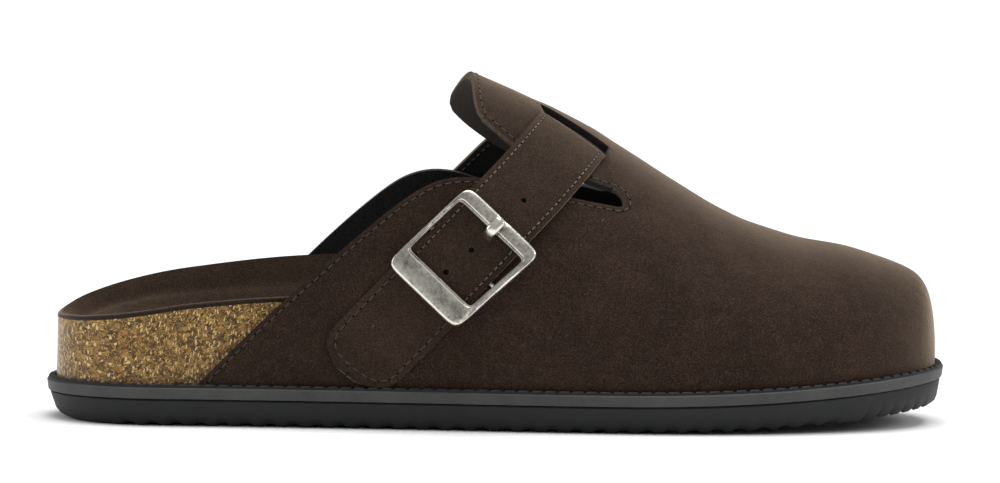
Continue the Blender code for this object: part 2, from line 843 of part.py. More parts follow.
def buckle_prong(place):
    """Bent blade on its pivot pin: a row of sections, then a union with the pin."""
    bm = bmesh.new()
    loops = []
    for k, row in enumerate(PRONG):
        before = PRONG[max(k - 1, 0)]
        after = PRONG[min(k + 1, len(PRONG) - 1)]
        run = Vector((after.down - before.down, 0, after.out - before.out)).normalized()
        rise = Vector((0, 1, 0)).cross(run) * (PRONG_THICKNESS / 2)
        side = Vector((0, PRONG_WIDTH / 2, 0))
        middle = Vector((row.down, 0, row.out))
        corners = [middle + side + rise, middle - side + rise, middle - side - rise, middle + side - rise]
        loops.append([bm.verts.new(corner) for corner in corners])
    for start, end in zip(loops, loops[1:]):
        for k in range(4):
            bm.faces.new((start[k - 1], start[k], end[k], end[k - 1]))
    bm.faces.new(loops[0])
    bm.faces.new(loops[-1])
    bmesh.ops.recalc_face_normals(bm, faces=bm.faces)
    made = add_object("buckle_prong", bm, NICKEL)
    made.parent = place
    pivot = bmesh.new()
    turn = Matrix.Translation((PIVOT_PLACE, 0, PIVOT_LIFT)) @ Matrix.Rotation(math.pi / 2, 4, "X")
    pin(pivot, PIVOT_RADIUS, BUCKLE_WINDOW_WIDTH - 2 * GAP, turn)
    add_boolean("prong_pin", pivot, made, "UNION")


def buckle():
    place = bpy.data.objects.new("buckle_place", None)
    place.matrix_world = band_matrix(strap_angle(-BUCKLE_PLACE))
    bpy.context.collection.objects.link(place)
    buckle_frame(place)
    buckle_prong(place)


def main():
    for old in list(bpy.data.objects):
        bpy.data.objects.remove(old)
    outsole()
    midsole()
    footbed()
    insole()
    upper()
    strap()
    buckle_tab()
    buckle()


if __name__ == "__main__":
    main()
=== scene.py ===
"""Looks of a cork footbed clog for the right foot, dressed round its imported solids.

Metres, +X to the toe, +Y to the inner side of the foot, +Z up. Places along the shoe are measured from
the back of the heel. The shape tables repeat the sizes of the solids, with a few small shifts, so every
piece sits where its solid is.
"""

import bisect
import functools
import math
from collections import namedtuple

import bmesh
import bpy
from mathutils import Euler, Matrix, Vector, kdtree


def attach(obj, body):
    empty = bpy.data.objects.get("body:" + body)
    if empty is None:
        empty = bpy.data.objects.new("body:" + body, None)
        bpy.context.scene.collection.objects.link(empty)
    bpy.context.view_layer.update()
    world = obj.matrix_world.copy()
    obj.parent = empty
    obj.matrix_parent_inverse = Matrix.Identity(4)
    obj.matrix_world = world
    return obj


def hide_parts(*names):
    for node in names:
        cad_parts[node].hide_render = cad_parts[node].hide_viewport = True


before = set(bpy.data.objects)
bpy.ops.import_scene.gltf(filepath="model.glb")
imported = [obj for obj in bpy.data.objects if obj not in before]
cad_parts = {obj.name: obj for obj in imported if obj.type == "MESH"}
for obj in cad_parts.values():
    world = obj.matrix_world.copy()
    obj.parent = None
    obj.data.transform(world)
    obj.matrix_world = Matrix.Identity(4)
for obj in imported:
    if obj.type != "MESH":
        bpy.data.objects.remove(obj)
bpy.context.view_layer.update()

bl_info = {
    "name": "Cork footbed clog",
    "version": (1, 0, 0),
    "blender": (4, 5, 0),
    "location": "View3D > Sidebar > Clog",
    "description": "Dresses a clog in suede, cork, foam and nickel on a pale floor",
    "category": "Object",
}


def table(columns, *rows):
    """Rows of a table with names for their values."""
    row_kind = namedtuple("Row", columns)
    return tuple(row_kind(*row) for row in rows)


# Sole and footbed
LENGTH = 0.285
GAP = 0.0003
OUTSOLE_HEIGHT = 0.0086
OUTSOLE_INSET = 0.0010
OUTSOLE_TAPER = 0.0044
TOE_TAPER = 0.0022
TOE_TAPER_START = 0.235
MIDSOLE_HEIGHT = 0.0036
TOE_SPRING = 0.0065
TOE_SPRING_START = 0.172
TOE_THINNING = 0.0008
HEEL_LIFT = 0.0018
HEEL_LIFT_LENGTH = 0.016
HEEL_REACH = 0.036
HEEL_FULLNESS = 2.15
TOE_REACH = 0.064
TOE_FULLNESS = 2.3
NOTCH_PITCH = 0.0075
NOTCH_WIDTH = 0.0052
NOTCH_DEPTH = 0.0008
NOTCH_FIRST = 0.022
NOTCH_LAST = 0.250
DISH_POWER = 3.0

# Upper
WALL = 0.0020
UPPER_LEDGE = 0.0027
UPPER_TOE_REACH = 0.042
UPPER_TOE_FULLNESS = 3.4
COLLAR_START = 0.0467
SLIT_END = 0.1793
SLIT_ROUND = 0.0032
SLIT_TIP = 0.38
TONGUE_END = 0.1331
TONGUE_SKEW = 0.0072
TONGUE_SKEW_POWER = 1.25
SLOT_START = 0.1546
SLOT_STOP = 0.1755
SLOT_TAPER = 0.0040
SLOT_NARROWEST = 0.25
SLOT_LOW = 16.7
SLOT_HIGH = 7.2
SLOT_SLANT = 420.0

# Strap and tab
STRAP_PLANE = 0.0764
STRAP_SLOPE = 1.04
STRAP_INNER_BACK = 0.0045
STRAP_BACK_START = 8.0
STRAP_BACK_STOP = 48.0
STRAP_WIDTH = 0.0243
STRAP_THICKNESS = 0.0018
STRAP_UNDER = -0.0037
STRAP_DIVE_START = 1.0
STRAP_DIVE_END = 0.60
TAB_WIDTH = 0.0260
TAB_THICKNESS = 0.0016
TAB_END_REACH = 0.011
TAB_END_FULLNESS = 2.9
TAB_LEAN = 0.0016
TAB_TIP = 0.0004
TAB_END = 0.1290
HOLE_RADIUS = 0.00095
HOLE_DEPTH = 0.0110
HOLE_FLOOR = 0.0003
STRAP_TAIL = 0.0055
STRAP_INNER_END = 84.0

# Buckle
BUCKLE_PLACE = 0.0783
BUCKLE_WINDOW = 0.0226
BUCKLE_WINDOW_WIDTH = 0.0278
UPPER_BAR = 0.0052
WIDE_BAR = 0.0073
RAIL = 0.0025
FRAME_THICKNESS = 0.0022
FRAME_LIFT = 0.0048
FRAME_BOW = 0.170
FRAME_FULLNESS = 11.0
WINDOW_FULLNESS = 22.0
PIVOT_PLACE = 0.0010
PIVOT_RADIUS = 0.0007
PIVOT_LIFT = 0.0012
LUG_LENGTH = 0.0030
PRONG_WIDTH = 0.0027
PRONG_THICKNESS = 0.0013
PRONG_HOLE = 0.0034

# Steps of the calculations: metres to weld and to take a slope, degrees along the strap, and tries
WELD = 1e-6
SLOPE_STEP = 1e-5
ANGLE_STEP = 0.5
STRAP_ANGLES = range(-89, 90)
HALVINGS = 50
PULLS = 6

# Fullness of a circular end, and degrees between faces from which their edge is sharp
CIRCLE = 2.0
SHARP_ANGLE = 35.0

# Tables of shape from heel to toe: the sole's middle line and half width, the footbed's heights, to which
# the toe's rise is added, and insets, the upper's ridge, crest and fullness, and the heights of the cut
# edges of collar and tongue
SOLE = table(
    "along middle half",
    (0.000, -0.0008, 0.0350),
    (0.034, -0.0011, 0.0357),
    (0.071, -0.0026, 0.0367),
    (0.114, -0.0048, 0.0395),
    (0.157, -0.0048, 0.0455),
    (0.194, -0.0018, 0.0512),
    (0.217, 0.0004, 0.0522),
    (0.242, 0.0028, 0.0502),
    (0.285, 0.0062, 0.0480),
)
FOOTBED = table(
    "along outer floor inner foot_inset rim_inset",
    (0.003, 0.0325, 0.0325, 0.0325, 0.0030, 0.0032),
    (0.012, 0.0328, 0.0295, 0.0368, 0.0030, 0.0032),
    (0.028, 0.0348, 0.0269, 0.0416, 0.0032, 0.0036),
    (0.045, 0.0374, 0.0263, 0.0452, 0.0053, 0.0059),
    (0.078, 0.0400, 0.0270, 0.0493, 0.0054, 0.0072),
    (0.110, 0.0390, 0.0285, 0.0500, 0.0054, 0.0084),
    (0.145, 0.0345, 0.0295, 0.0450, 0.0054, 0.0084),
    (0.185, 0.0305, 0.0285, 0.0340, 0.0054, 0.0078),
    (0.225, 0.0285, 0.0270, 0.0300, 0.0056, 0.0080),
    (0.282, 0.0315, 0.0300, 0.0315, 0.0060, 0.0095),
)
UPPER = table(
    "along ridge crest side top",
    (0.0400, -0.0008, 0.1500, 2.0, 2.4),
    (0.1320, 0.0032, 0.1102, 2.0, 2.2),
    (0.1515, 0.0037, 0.1018, 2.0, 2.1),
    (0.1750, 0.0042, 0.0900, 2.0, 2.0),
    (0.1985, 0.0047, 0.0756, 2.1, 2.0),
    (0.2140, 0.0052, 0.0668, 2.2, 2.1),
    (0.2360, 0.0057, 0.0588, 2.3, 2.3),
    (0.2535, 0.0060, 0.0558, 2.4, 2.5),
    (0.2640, 0.0060, 0.0541, 2.4, 2.5),
    (0.2823, 0.0060, 0.0532, 2.5, 2.6),
)
COLLAR = table(
    "along outer inner",
    (0.0467, 0.0128, 0.0128),
    (0.0660, 0.0324, 0.0324),
    (0.0880, 0.0527, 0.0545),
    (0.1020, 0.0648, 0.0672),
    (0.1120, 0.0724, 0.0746),
    (0.1205, 0.0768, 0.0775),
    (0.1295, 0.0781, 0.0772),
    (0.1400, 0.0768, 0.0745),
    (0.1640, 0.0717, 0.0745),
    (0.1793, 0.0688, 0.0715),
)
TONGUE = table(
    "along outer inner",
    (0.1265, 0.1030, 0.0992),
    (0.1320, 0.0988, 0.0938),
    (0.1390, 0.0930, 0.0886),
    (0.1450, 0.0880, 0.0850),
    (0.1560, 0.0819, 0.0810),
    (0.1680, 0.0772, 0.0782),
    (0.1793, 0.0737, 0.0755),
)

# The tab's length, the strap's holes by their distance up from the buckle's middle, the strap's lift off
# the upper by degrees from the crest, and the bends of the prong from its pivot
TAB_LENGTH = TAB_END - BUCKLE_PLACE - PIVOT_PLACE - PIVOT_RADIUS - 2 * GAP
HOLES = table(
    "up across radius floor",
    (0.0245, 0.0021, HOLE_RADIUS, HOLE_FLOOR),
    (0.0024, 0.0010, HOLE_RADIUS, HOLE_FLOOR),
    (-0.0078, 0.0, HOLE_RADIUS, HOLE_FLOOR),
    (0.0104, 0.0016, PRONG_HOLE / 2, -HOLE_DEPTH / 2),
)
STRAP_LIFT = table(
    "angle lift",
    (-90.0, 0.0022),
    (-60.0, 0.0022),
    (-52.0, 0.0012),
    (-44.0, 0.0004),
    (-30.0, 0.0004),
    (90.0, 0.0004),
)
PRONG = table(
    "down out",
    (0.0010, 0.0012),
    (-0.0060, 0.0011),
    (-0.0085, 0.0016),
    (-0.0098, 0.0054),
    (-0.0110, 0.0077),
    (-0.0130, 0.0077),
    (-0.0164, 0.0073),
)

# Places in the upper's list of materials; the inside and the edge of a part follow its outside. The inner
# quarter's cut edge takes the black felt as painted shade, where the outer quarter's shows the raw edge
OUTER_FINISH = 0
TONGUE_FINISH = 3
SLOT_FINISH = 6
INNER_SHADED_EDGE_FINISH = 9

# Main columns and rows of the tongue, the rows that hold its slots, and finer steps between them
TONGUE_STEPS = 4
SLOT_STEPS = 5
TONGUE_ROWS = 10
OUTER_SLOT_ROW = 2
INNER_SLOT_ROW = 7
FINER = 6

# Rounded rear corners of the tongue, outer and inner: where they start across it, and their reach
Corner = namedtuple("Corner", "start reach")
TONGUE_CORNERS = {-1: Corner(0.84, 0.0024), 1: Corner(0.88, 0.0022)}

# The strap presses the tongue down below its slots and lifts it between them, from row to row across it
TONGUE_PRESS = 0.0013
TONGUE_LIFT = 0.0004
TONGUE_BULGE = (0, -TONGUE_PRESS / 2, -TONGUE_PRESS, TONGUE_LIFT, TONGUE_LIFT, TONGUE_LIFT, TONGUE_LIFT,
                TONGUE_LIFT, -TONGUE_PRESS, -TONGUE_PRESS / 2, 0)
PRESS_FADE = 0.0028
LIFT_FADE = 0.0075
LIFT_REACH = 0.0036

# Columns and rows of the other meshes, and how they crowd towards an end
OUTSOLE_COLUMNS = 24
END_COLUMNS = (0.0002, 0.0009, 0.284, 0.2848)
WELT_COLUMNS = 120
WELT_ROWS = 6
STRIP_COLUMNS = 150
CORK_COLUMNS = 96
CORK_ROWS = 12
COVER_COLUMNS = 110
COVER_ROWS = 72
QUARTER_STEPS = 96
QUARTER_ROWS = 34
VAMP_STEPS = 90
QUARTER_CROWDING = 1.3
TOE_CROWDING = 2.3
TAB_CROWDING = 1.8
STRAP_COLUMNS = 300
TAB_COLUMNS = 40
BAND_ROWS = 12
EDGE_STEPS = 90
HOLE_SIDES = 20
FRAME_SIDES = 144
PRONG_COLUMNS = 48
PRONG_SIDES = 16
BEAD_SIDES = 8
STITCH_RINGS = 6
NEEDLE_SHADE_RINGS = 4
FLOOR_STEPS = 4

# Strap and tab: place of the lining among the strap's materials, drop of the edges, rounding of cut edges
STRAP_LINING = 1
BAND_CROWN = 0.00025
EDGE_ROUNDING = 0.2

# Buckle: how its frame and prong differ from plain ones, and the seat of the prong in the upper bar
PRONG_TIP = 0.06
PRONG_FULLNESS = 2.5
PRONG_SEAT = 0.35
SEAT_FROM = 0.5
SEAT_EDGE = 0.85
SEAT_FADE = 0.30
FRAME_TAPER = 0.045
FRAME_SKEW = 0.06
FRAME_NARROWER = 0.0008
WIDE_BAR_MORE = 0.0010
FRAME_SHIFT = Vector((0.0004, 0.0011, 0.0))
PRONG_PLUMPER = 1.3
PRONG_BEND = 0.5
PRONG_SHIFT = Vector((0.0006, 0.0016, 0.0))

# Seams: where they start and end, shares of the pitch and the thread's radius, and shape of the dark bead
# painted as a needle hole's shade
UNDER_SEAM_START = 22.0
END_SEAM = 1.6
STITCH_SHARE = 0.74
STITCH_FLATNESS = 0.8
STITCH_RISE = 0.3
NEEDLE_SHADE_SHAPE = (1.5, 1.35, 0.35)
SEAM_CLEAR = 0.96
TAB_SEAM_CROWN = 0.5

# Tread: section of a notch, small notches at the toe, and the shares across between which the notches run
NOTCH_PROFILE = ((-1, 0), (-0.6, 0.7), (-0.2, 1), (0.2, 1), (0.6, 0.7), (1, 0))
TOE_NOTCHES = (0.2575, 0.2620, 0.2663, 0.2704, 0.2743, 0.2780)
TOE_NOTCH_WIDTH = 0.0018
TOE_NOTCH_DEPTH = 0.0008
EDGE_TREAD = 0.60
MIDDLE_TREAD = 0.32
NOTCHED_SIDE = 0.3
TREAD_ACROSS = (-1.0, -0.86, -0.74, -0.62, -0.58, -0.46, -0.34, -0.30, -0.15, 0.0,
                0.15, 0.30, 0.34, 0.46, 0.58, 0.62, 0.74, 0.86, 1.0)

# Side views of the layers, from bottom to top: share of the taper gone or inset, share of the height
OUTSOLE_SIDE = ((0.0, 0.0), (0.34, 0.08), (0.60, 0.26), (0.82, 0.62), (1.0, 0.95), (0.95, 1.0))
WELT_SIDE = ((0.0006, 0.0), (0.0004, 0.06), (0.0002, 0.5), (0.0, 0.86), (0.0003, 0.97), (0.0008, 1.0))
COVER_SIDE = ((0.0, 0.0), (-0.0001, 0.50), (0.0, 0.78), (0.0003, 0.95), (0.0009, 1.0))

# Footbed cover: what shows of its edge, how far its outer rim is raised, and the fold round its dish
COVER_SHOWN = 0.0013
RIM_RAISE = 0.0005
RIM_SHARPNESS = 8
COVER_FOLD = 0.0011
COVER_FOLD_PLACE = 0.88
COVER_FOLD_WIDTH = 0.05

# Welt strip: its place, its slanted blocks, and its section from the foot of its inner side
WELT_STRIP_INSET = 0.0016
WELT_STRIP_WIDTH = 0.0021
WELT_BLOCK_WIDTH = 0.0019
WELT_BLOCK_SHARE = 0.74
WELT_BLOCK_SLANT = 0.5
WELT_BLOCK_CHAMFER = 0.25
WELT_STRIP_SECTION = ((1, 0.0), (1, 0.5), (-1, 0.42), (-1, 0.0))

# Section of the buckle's frame from its outer foot to its inner foot: which edge of the bar a corner is
# measured from, how far in it is, its share of the height, and 1 where a rubbed edge follows, whose lighter
# nickel is partly painted highlight
OUTER, INNER = 0, 1
FRAME_SECTION = table(
    "edge distance rise rubbed",
    (OUTER, 0.0000, 0.00, 0),
    (OUTER, 0.0000, 0.55, 0),
    (OUTER, 0.0002, 0.80, 1),
    (OUTER, 0.0005, 0.95, 1),
    (OUTER, 0.0009, 1.00, 0),
    (INNER, 0.0012, 1.00, 1),
    (INNER, 0.0009, 0.93, 0),
    (INNER, 0.0007, 0.76, 0),
    (INNER, 0.0003, 0.73, 1),
    (INNER, 0.0001, 0.64, 0),
    (INNER, 0.0000, 0.50, 0),
    (INNER, 0.0000, 0.00, 0),
)

# Soft troughs of wear on the upper, and the raised shoulder of its toe, whose depth is below 0: from one
# place and angle to another, with depth and half width
CREASES = table(
    "along angle to_along to_angle depth half_width",
    (0.1800, -42.0, 0.1900, -36.0, 0.0005, 0.0040),
    (0.1980, -28.0, 0.2060, -58.0, 0.0004, 0.0050),
    (0.2120, -22.0, 0.2180, -60.0, 0.0004, 0.0055),
    (0.2000, 25.0, 0.2100, 60.0, 0.0004, 0.0050),
    (0.2200, -15.0, 0.2210, 20.0, 0.0003, 0.0060),
    (0.2762, -65.0, 0.2762, 65.0, -0.0012, 0.0070),
)
CREASE_STEPS = 14
CREASE_REACH = 0.018
CREASE_FADE = 0.08

# Suede: shares of broad patches, strokes and nap in its tone, and the spread of the tone about its middle
NAP_SHARES = (0.16, 0.18, 0.9)
NAP_SPREAD = 0.16
LINT_SIZE = 0.028
LINT_SHARE = 0.35
FUZZ_SHARE = 0.6

# Nickel: share of the broad clouds in its tone, and how much duller its pits are and glossier its high spots
CLOUD_SHARE = 0.6
DULL_PITS = 0.12
BRIGHT_SPOTS = 0.08

# Cork: sizes of its crumbs and flakes, and how far they bend. The flakes are thin plates that lie all
# ways, so that every cut shows them as short strokes
CRUMB_MM = 1.2
CRUMB_BEND = 0.0007
CRUMB_GAP = 0.06
BARK_FROM = 0.56
FLAKE_MM = 2.4
FLAKE_SHAPE = (1.0, 1.0, 0.2)
FLAKE_SHARE = 0.26
CORK_FLAKES = (
    ((0.2, 0.35, 0.1), "#8f6c33"),
    ((-0.3, 1.25, 0.4), "#3a2711"),
    ((0.4, 2.0, -0.2), "#a98646"),
    ((0.3, -0.6, 0.5), "#7b5a29"),
    ((-0.4, 2.6, 0.3), "#b39355"),
    ((0.5, 0.85, -0.4), "#48310f"),
    ((-0.2, 1.65, 0.8), "#cbb079"),
)

# Camera and picture
IMAGE_WIDTH = 1000
PIXELS_PER_METRE = 3157.0
SENSOR = 36.0
DISTANCE = 1.6
AZIMUTH = -4.0
ELEVATION = 3.6
ROLL = 0.82
CLIP_END = 100.0
AIM = (0.0, 0.0, 0.0561)

# Lights: places, size of the softboxes and angle of sky that the overhead silk fills
TOP_PLACE = (0.2, 0.15, 1.6)
KEY_PLACE = (1.3, -0.15, 0.7)
REAR_PLACE = (-1.1, -0.1, 0.55)
FRONT_PLACE = (0.15, -1.0, 1.15)
SOFTBOX_SIZE = 0.7
SILK_ANGLE = 55.0


@functools.cache
def curve(rows, column):
    """Places, values and slopes of a table's column."""
    places = [row[0] for row in rows]
    values = [getattr(row, column) for row in rows]
    slopes = []
    for k in range(len(rows)):
        low = max(k - 1, 0)
        high = min(k + 1, len(rows) - 1)
        slopes.append((values[high] - values[low]) / (places[high] - places[low]))
    return places, values, slopes


def smooth(rows, column, place):
    """Value of a table's column at a place, on a smooth curve through its rows."""
    places, values, slopes = curve(rows, column)
    if place <= places[0]:
        return values[0]
    if place >= places[-1]:
        return values[-1]
    k = bisect.bisect_right(places, place) - 1
    step = places[k + 1] - places[k]
    t = (place - places[k]) / step
    start = (1 + 2 * t) * (1 - t) ** 2 * values[k] + t * (1 - t) ** 2 * step * slopes[k]
    end = t * t * (3 - 2 * t) * values[k + 1] + t * t * (t - 1) * step * slopes[k + 1]
    return start + end


def rounded_end(distance, reach, fullness):
    """Share of the full size that is left at a distance from a rounded end."""
    left = 1 - min(max(distance, 0) / reach, 1)
    return (1 - left**fullness) ** (1 / fullness)


def mix(start, end, share):
    return start + (end - start) * share


def ease(share):
    """Soft step from 0 to 1."""
    share = min(max(share, 0), 1)
    return share * share * (3 - 2 * share)


def toe_spring(along):
    """Rise of the sole's layers towards the toe."""
    share = max(along - TOE_SPRING_START, 0) / (LENGTH - TOE_SPRING_START)
    return TOE_SPRING * share**2


def tread_height(along):
    """Height of the outsole's underside, which is flat from heel to ball."""
    toe = max(along - TOE_SPRING_START, 0) / (LENGTH - TOE_SPRING_START)
    heel = max(HEEL_LIFT_LENGTH - along, 0) / HEEL_LIFT_LENGTH
    return toe_spring(along) + TOE_THINNING * toe**3 + HEEL_LIFT * heel**2


def feather_line(along):
    """Height at which footbed and upper stand on the midsole."""
    return OUTSOLE_HEIGHT + MIDSOLE_HEIGHT + GAP + toe_spring(along)


def cover_height(along, across):
    """Height of the top of the footbed's suede cover."""
    floor = smooth(FOOTBED, "floor", along)
    rim = smooth(FOOTBED, "outer" if across < 0 else "inner", along)
    return toe_spring(along) + mix(floor, rim, abs(across) ** DISH_POWER)


@functools.lru_cache(maxsize=4096)
def upper_section(along):
    """Ridge, outer and inner reach, base height, rise and fullness of the last at one place."""
    tip = LENGTH - UPPER_LEDGE
    base = feather_line(along) + GAP
    rise = smooth(UPPER, "crest", along) - base
    rise *= rounded_end(tip - along, UPPER_TOE_REACH, UPPER_TOE_FULLNESS)
    toe = rounded_end(tip - along, TOE_REACH - UPPER_LEDGE, TOE_FULLNESS)
    half = (smooth(SOLE, "half", along) - UPPER_LEDGE) * toe
    middle = smooth(SOLE, "middle", along)
    ridge = mix(middle, smooth(UPPER, "ridge", along), toe)
    reach = {-1: ridge - middle + half, 1: middle + half - ridge}
    return ridge, reach, base, rise, smooth(UPPER, "side", along), smooth(UPPER, "top", along)


def upper_point(along, angle):
    """Point on the outside of the upper: angle 0 is the crest, -90 degrees the outer feather line."""
    ridge, reach, base, rise, side, top = upper_section(along)
    hand = -1 if angle < 0 else 1
    turn = math.radians(min(abs(angle), 90))
    y = ridge + hand * reach[hand] * math.sin(turn) ** (2 / side)
    z = base + rise * max(math.cos(turn), 0) ** (2 / top)
    return Vector((along - LENGTH / 2, y, z))


def angle_at(along, height, hand):
    """Degrees from the crest at which the upper's section is at a height above the floor."""
    _, _, base, rise, _, top = upper_section(along)
    share = min(max((height - base) / rise, 0), 1)
    return hand * math.degrees(math.acos(share ** (top / 2)))


def outside(point):
    """How far a point is outside the last: 0 on its surface, more than 0 outside it."""
    ridge, reach, base, rise, side, top = upper_section(point.x + LENGTH / 2)
    width = abs(point.y - ridge) / reach[-1 if point.y < ridge else 1]
    return width**side + (max(point.z - base, 0) / rise) ** top - 1


def outward(point):
    """Direction in which the last's distance grows fastest at a point, and how fast."""
    slope = Vector()
    for axis in range(3):
        offset = Vector()
        offset[axis] = SLOPE_STEP
        slope[axis] = (outside(point + offset) - outside(point - offset)) / (2 * SLOPE_STEP)
    return slope


def on_upper(point, lift=0):
    """The point moved onto the last, then lifted off it."""
    for _ in range(PULLS):
        slope = outward(point)
        point = point - slope * (outside(point) / slope.length_squared)
    return point + outward(point).normalized() * lift


def slit_edge(rows, hand, along):
    """Angle of one edge of a slit; the edges close to a rounded end."""
    column = "outer" if hand < 0 else "inner"
    height = smooth(rows, column, along)
    middle = mix(smooth(COLLAR, column, along), smooth(TONGUE, column, along), SLIT_TIP)
    height = mix(middle, height, rounded_end(SLIT_END - along, SLIT_ROUND, CIRCLE))
    return angle_at(along, height, hand)


def slot_edges(along, tapered=True):
    """Degrees from the crest of a slot's lower and upper edge, which close towards its ends if tapered."""
    place = min(max(along, SLOT_START), SLOT_STOP)
    high = SLOT_HIGH + SLOT_SLANT * (place - SLOT_START)
    width = SLOT_LOW - SLOT_HIGH
    if tapered:
        end = min(place - SLOT_START, SLOT_STOP - place)
        width *= max(rounded_end(end, SLOT_TAPER, CIRCLE), SLOT_NARROWEST)
    return high + width, high


def slot_bulge(along, fade, reach):
    """Share of the strap's push on the tongue, from 0 at a reach beyond the slots' ends to 1."""
    return ease((along - SLOT_START + reach) / fade) * ease((SLOT_STOP + reach - along) / fade)


def strap_centre(angle):
    """Point of the upper on the strap's slanting plane, at an angle from the crest."""
    low = COLLAR_START
    high = SLIT_END
    share = (angle - STRAP_BACK_START) / (STRAP_BACK_STOP - STRAP_BACK_START)
    plane = STRAP_PLANE - STRAP_INNER_BACK * ease(share)
    for _ in range(HALVINGS):
        along = (low + high) / 2
        if upper_point(along, angle).z > (along - plane) * STRAP_SLOPE:
            low = along
        else:
            high = along
    return upper_point((low + high) / 2, angle)


@functools.cache
def band_frame(angle):
    """Middle of a band, its direction from outer to inner side, and the direction across it."""
    middle = strap_centre(angle)
    run = (strap_centre(angle + ANGLE_STEP) - strap_centre(angle - ANGLE_STEP)).normalized()
    side = outward(middle).normalized().cross(run).normalized()
    return middle, run, side


@functools.cache
def strap_line():
    """Pairs of angle and distance from the crest along the strap's plane, outer side first."""
    points = [strap_centre(angle) for angle in STRAP_ANGLES]
    distances = [0.0]
    for start, end in zip(points, points[1:]):
        distances.append(distances[-1] + (end - start).length)
    crest = distances[STRAP_ANGLES.index(0)]
    return [(angle, distance - crest) for angle, distance in zip(STRAP_ANGLES, distances)]


def strap_angle(distance):
    """Angle from the crest at a distance along the strap's plane, below 0 on the outer side."""
    line = strap_line()
    for (angle, start), (next_angle, end) in zip(line, line[1:]):
        if distance <= end:
            return mix(angle, next_angle, (distance - start) / (end - start))
    return line[-1][0]


def band_matrix(angle):
    """Frame on the upper's surface: X down the strap on the outer side, Z outwards."""
    middle, run, side = band_frame(angle)
    turn = Matrix((-run, -side, outward(middle).normalized())).transposed()
    return Matrix.Translation(middle) @ turn.to_4x4()


# Building blocks


def colours():
    """Colours of the add-on's panel."""
    return bpy.context.scene.clog_colours


def sizes():
    """Sizes of the add-on's panel."""
    return bpy.context.scene.clog_sizes


def hex_colour(code):
    """Linear colour with alpha from an sRGB hex value."""
    channels = [int(code[k:k + 2], 16) / 255 for k in (1, 3, 5)]
    return (*[c / 12.92 if c <= 0.04045 else ((c + 0.055) / 1.055) ** 2.4 for c in channels], 1)


def add_node(tree, kind, inputs=None, stops=(), **settings):
    """Adds a node and returns its outputs.

    inputs maps its sockets to values or to the outputs that feed them. stops are the places and hex values
    along a colour ramp.
    """
    made = tree.nodes.new("ShaderNode" + kind)
    for name, value in settings.items():
        setattr(made, name, value)
    for socket, value in (inputs or {}).items():
        if isinstance(value, bpy.types.NodeSocket):
            tree.links.new(value, made.inputs[socket])
        else:
            made.inputs[socket].default_value = value
    for k, (place, code) in enumerate(stops):
        elements = made.color_ramp.elements
        element = elements[k] if k < 2 else elements.new(place)
        element.position = place
        element.color = hex_colour(code)
    return made.outputs


def at(values, place):
    """Value at a fractional place in a list."""
    k = min(int(place), len(values) - 2)
    return mix(values[k], values[k + 1], place - k)


def sheet(bm, columns, rows, point, left_out=(), finish=None):
    """Grid of columns by rows whose corners lie at point(column, row), without the faces left out.

    finish(column, row) gives a face's place in the piece's list of materials.
    """
    made = bmesh.ops.create_grid(bm, x_segments=columns, y_segments=rows, size=0.5)["verts"]
    spots = {}
    for vert in made:
        spots[vert] = (round((vert.co.x + 0.5) * columns), round((vert.co.y + 0.5) * rows))
    gone = []
    for face in {face for vert in made for face in vert.link_faces}:
        corner = tuple(min(spots[vert][k] for vert in face.verts) for k in (0, 1))
        if corner in left_out:
            gone.append(face)
        elif finish:
            face.material_index = finish(*corner)
    bmesh.ops.delete(bm, geom=gone, context="FACES")
    for vert in [vert for vert in made if vert.is_valid]:
        vert.co = point(*spots[vert])


def weld(bm):
    """Merges the corners that sheets share, and turns all faces outwards."""
    bmesh.ops.remove_doubles(bm, verts=bm.verts, dist=WELD)
    bmesh.ops.dissolve_degenerate(bm, edges=bm.edges, dist=WELD)
    bmesh.ops.recalc_face_normals(bm, faces=bm.faces)
    if bm.calc_volume(signed=True) < 0:
        bmesh.ops.reverse_faces(bm, faces=bm.faces)


def chamfer(bm, edges, width):
    """Cuts the edges of a block off."""
    bmesh.ops.bevel(bm, geom=edges, offset=width, segments=1, profile=0.5, affect="EDGES", material=-1)


def add_pin(bm, radius, depth, matrix):
    """Adds a closed cylinder about the Z of a frame."""
    bmesh.ops.create_cone(bm, cap_ends=True, segments=HOLE_SIDES, radius1=radius, radius2=radius, depth=depth,
                          matrix=matrix)


def add_object(name, bm):
    """Object with the mesh that was built."""
    mesh = bpy.data.meshes.new(name)
    bm.to_mesh(mesh)
    bm.free()
    made = bpy.data.objects.new(name, mesh)
    bpy.context.scene.collection.objects.link(made)
    return made


def add_piece(name, bm, materials, node=None):
    """Piece of the shoe that rides on it, takes a slot's finish and stands for its solid."""
    piece = add_object(name, bm)
    piece.data.shade_smooth()
    piece.data.set_sharp_from_angle(angle=math.radians(SHARP_ANGLE))
    for material in materials:
        piece.data.materials.append(material)
    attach(piece, "root")
    if node:
        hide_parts(node)
    return piece


def add_wall(piece, thickness, offset, inside=0, rim=0):
    """Thickens a sheet; inside and rim step to other materials of the piece."""
    wall = piece.modifiers.new("wall", "SOLIDIFY")
    wall.thickness = thickness
    wall.offset = offset
    wall.use_even_offset = True
    wall.material_offset = inside
    wall.material_offset_rim = rim


def add_rounding(piece, thickness):
    """Rounds the sharp edges of a piece by a share of its thickness."""
    rounding = piece.modifiers.new("rounding", "BEVEL")
    rounding.width = thickness * EDGE_ROUNDING
    rounding.segments = 2
    rounding.limit_method = "ANGLE"
    rounding.angle_limit = math.radians(SHARP_ANGLE)


# Materials


@functools.cache
def shared(make, *values, **settings):
    """A material made once and shared by its pieces."""
    return make(*values, **settings)


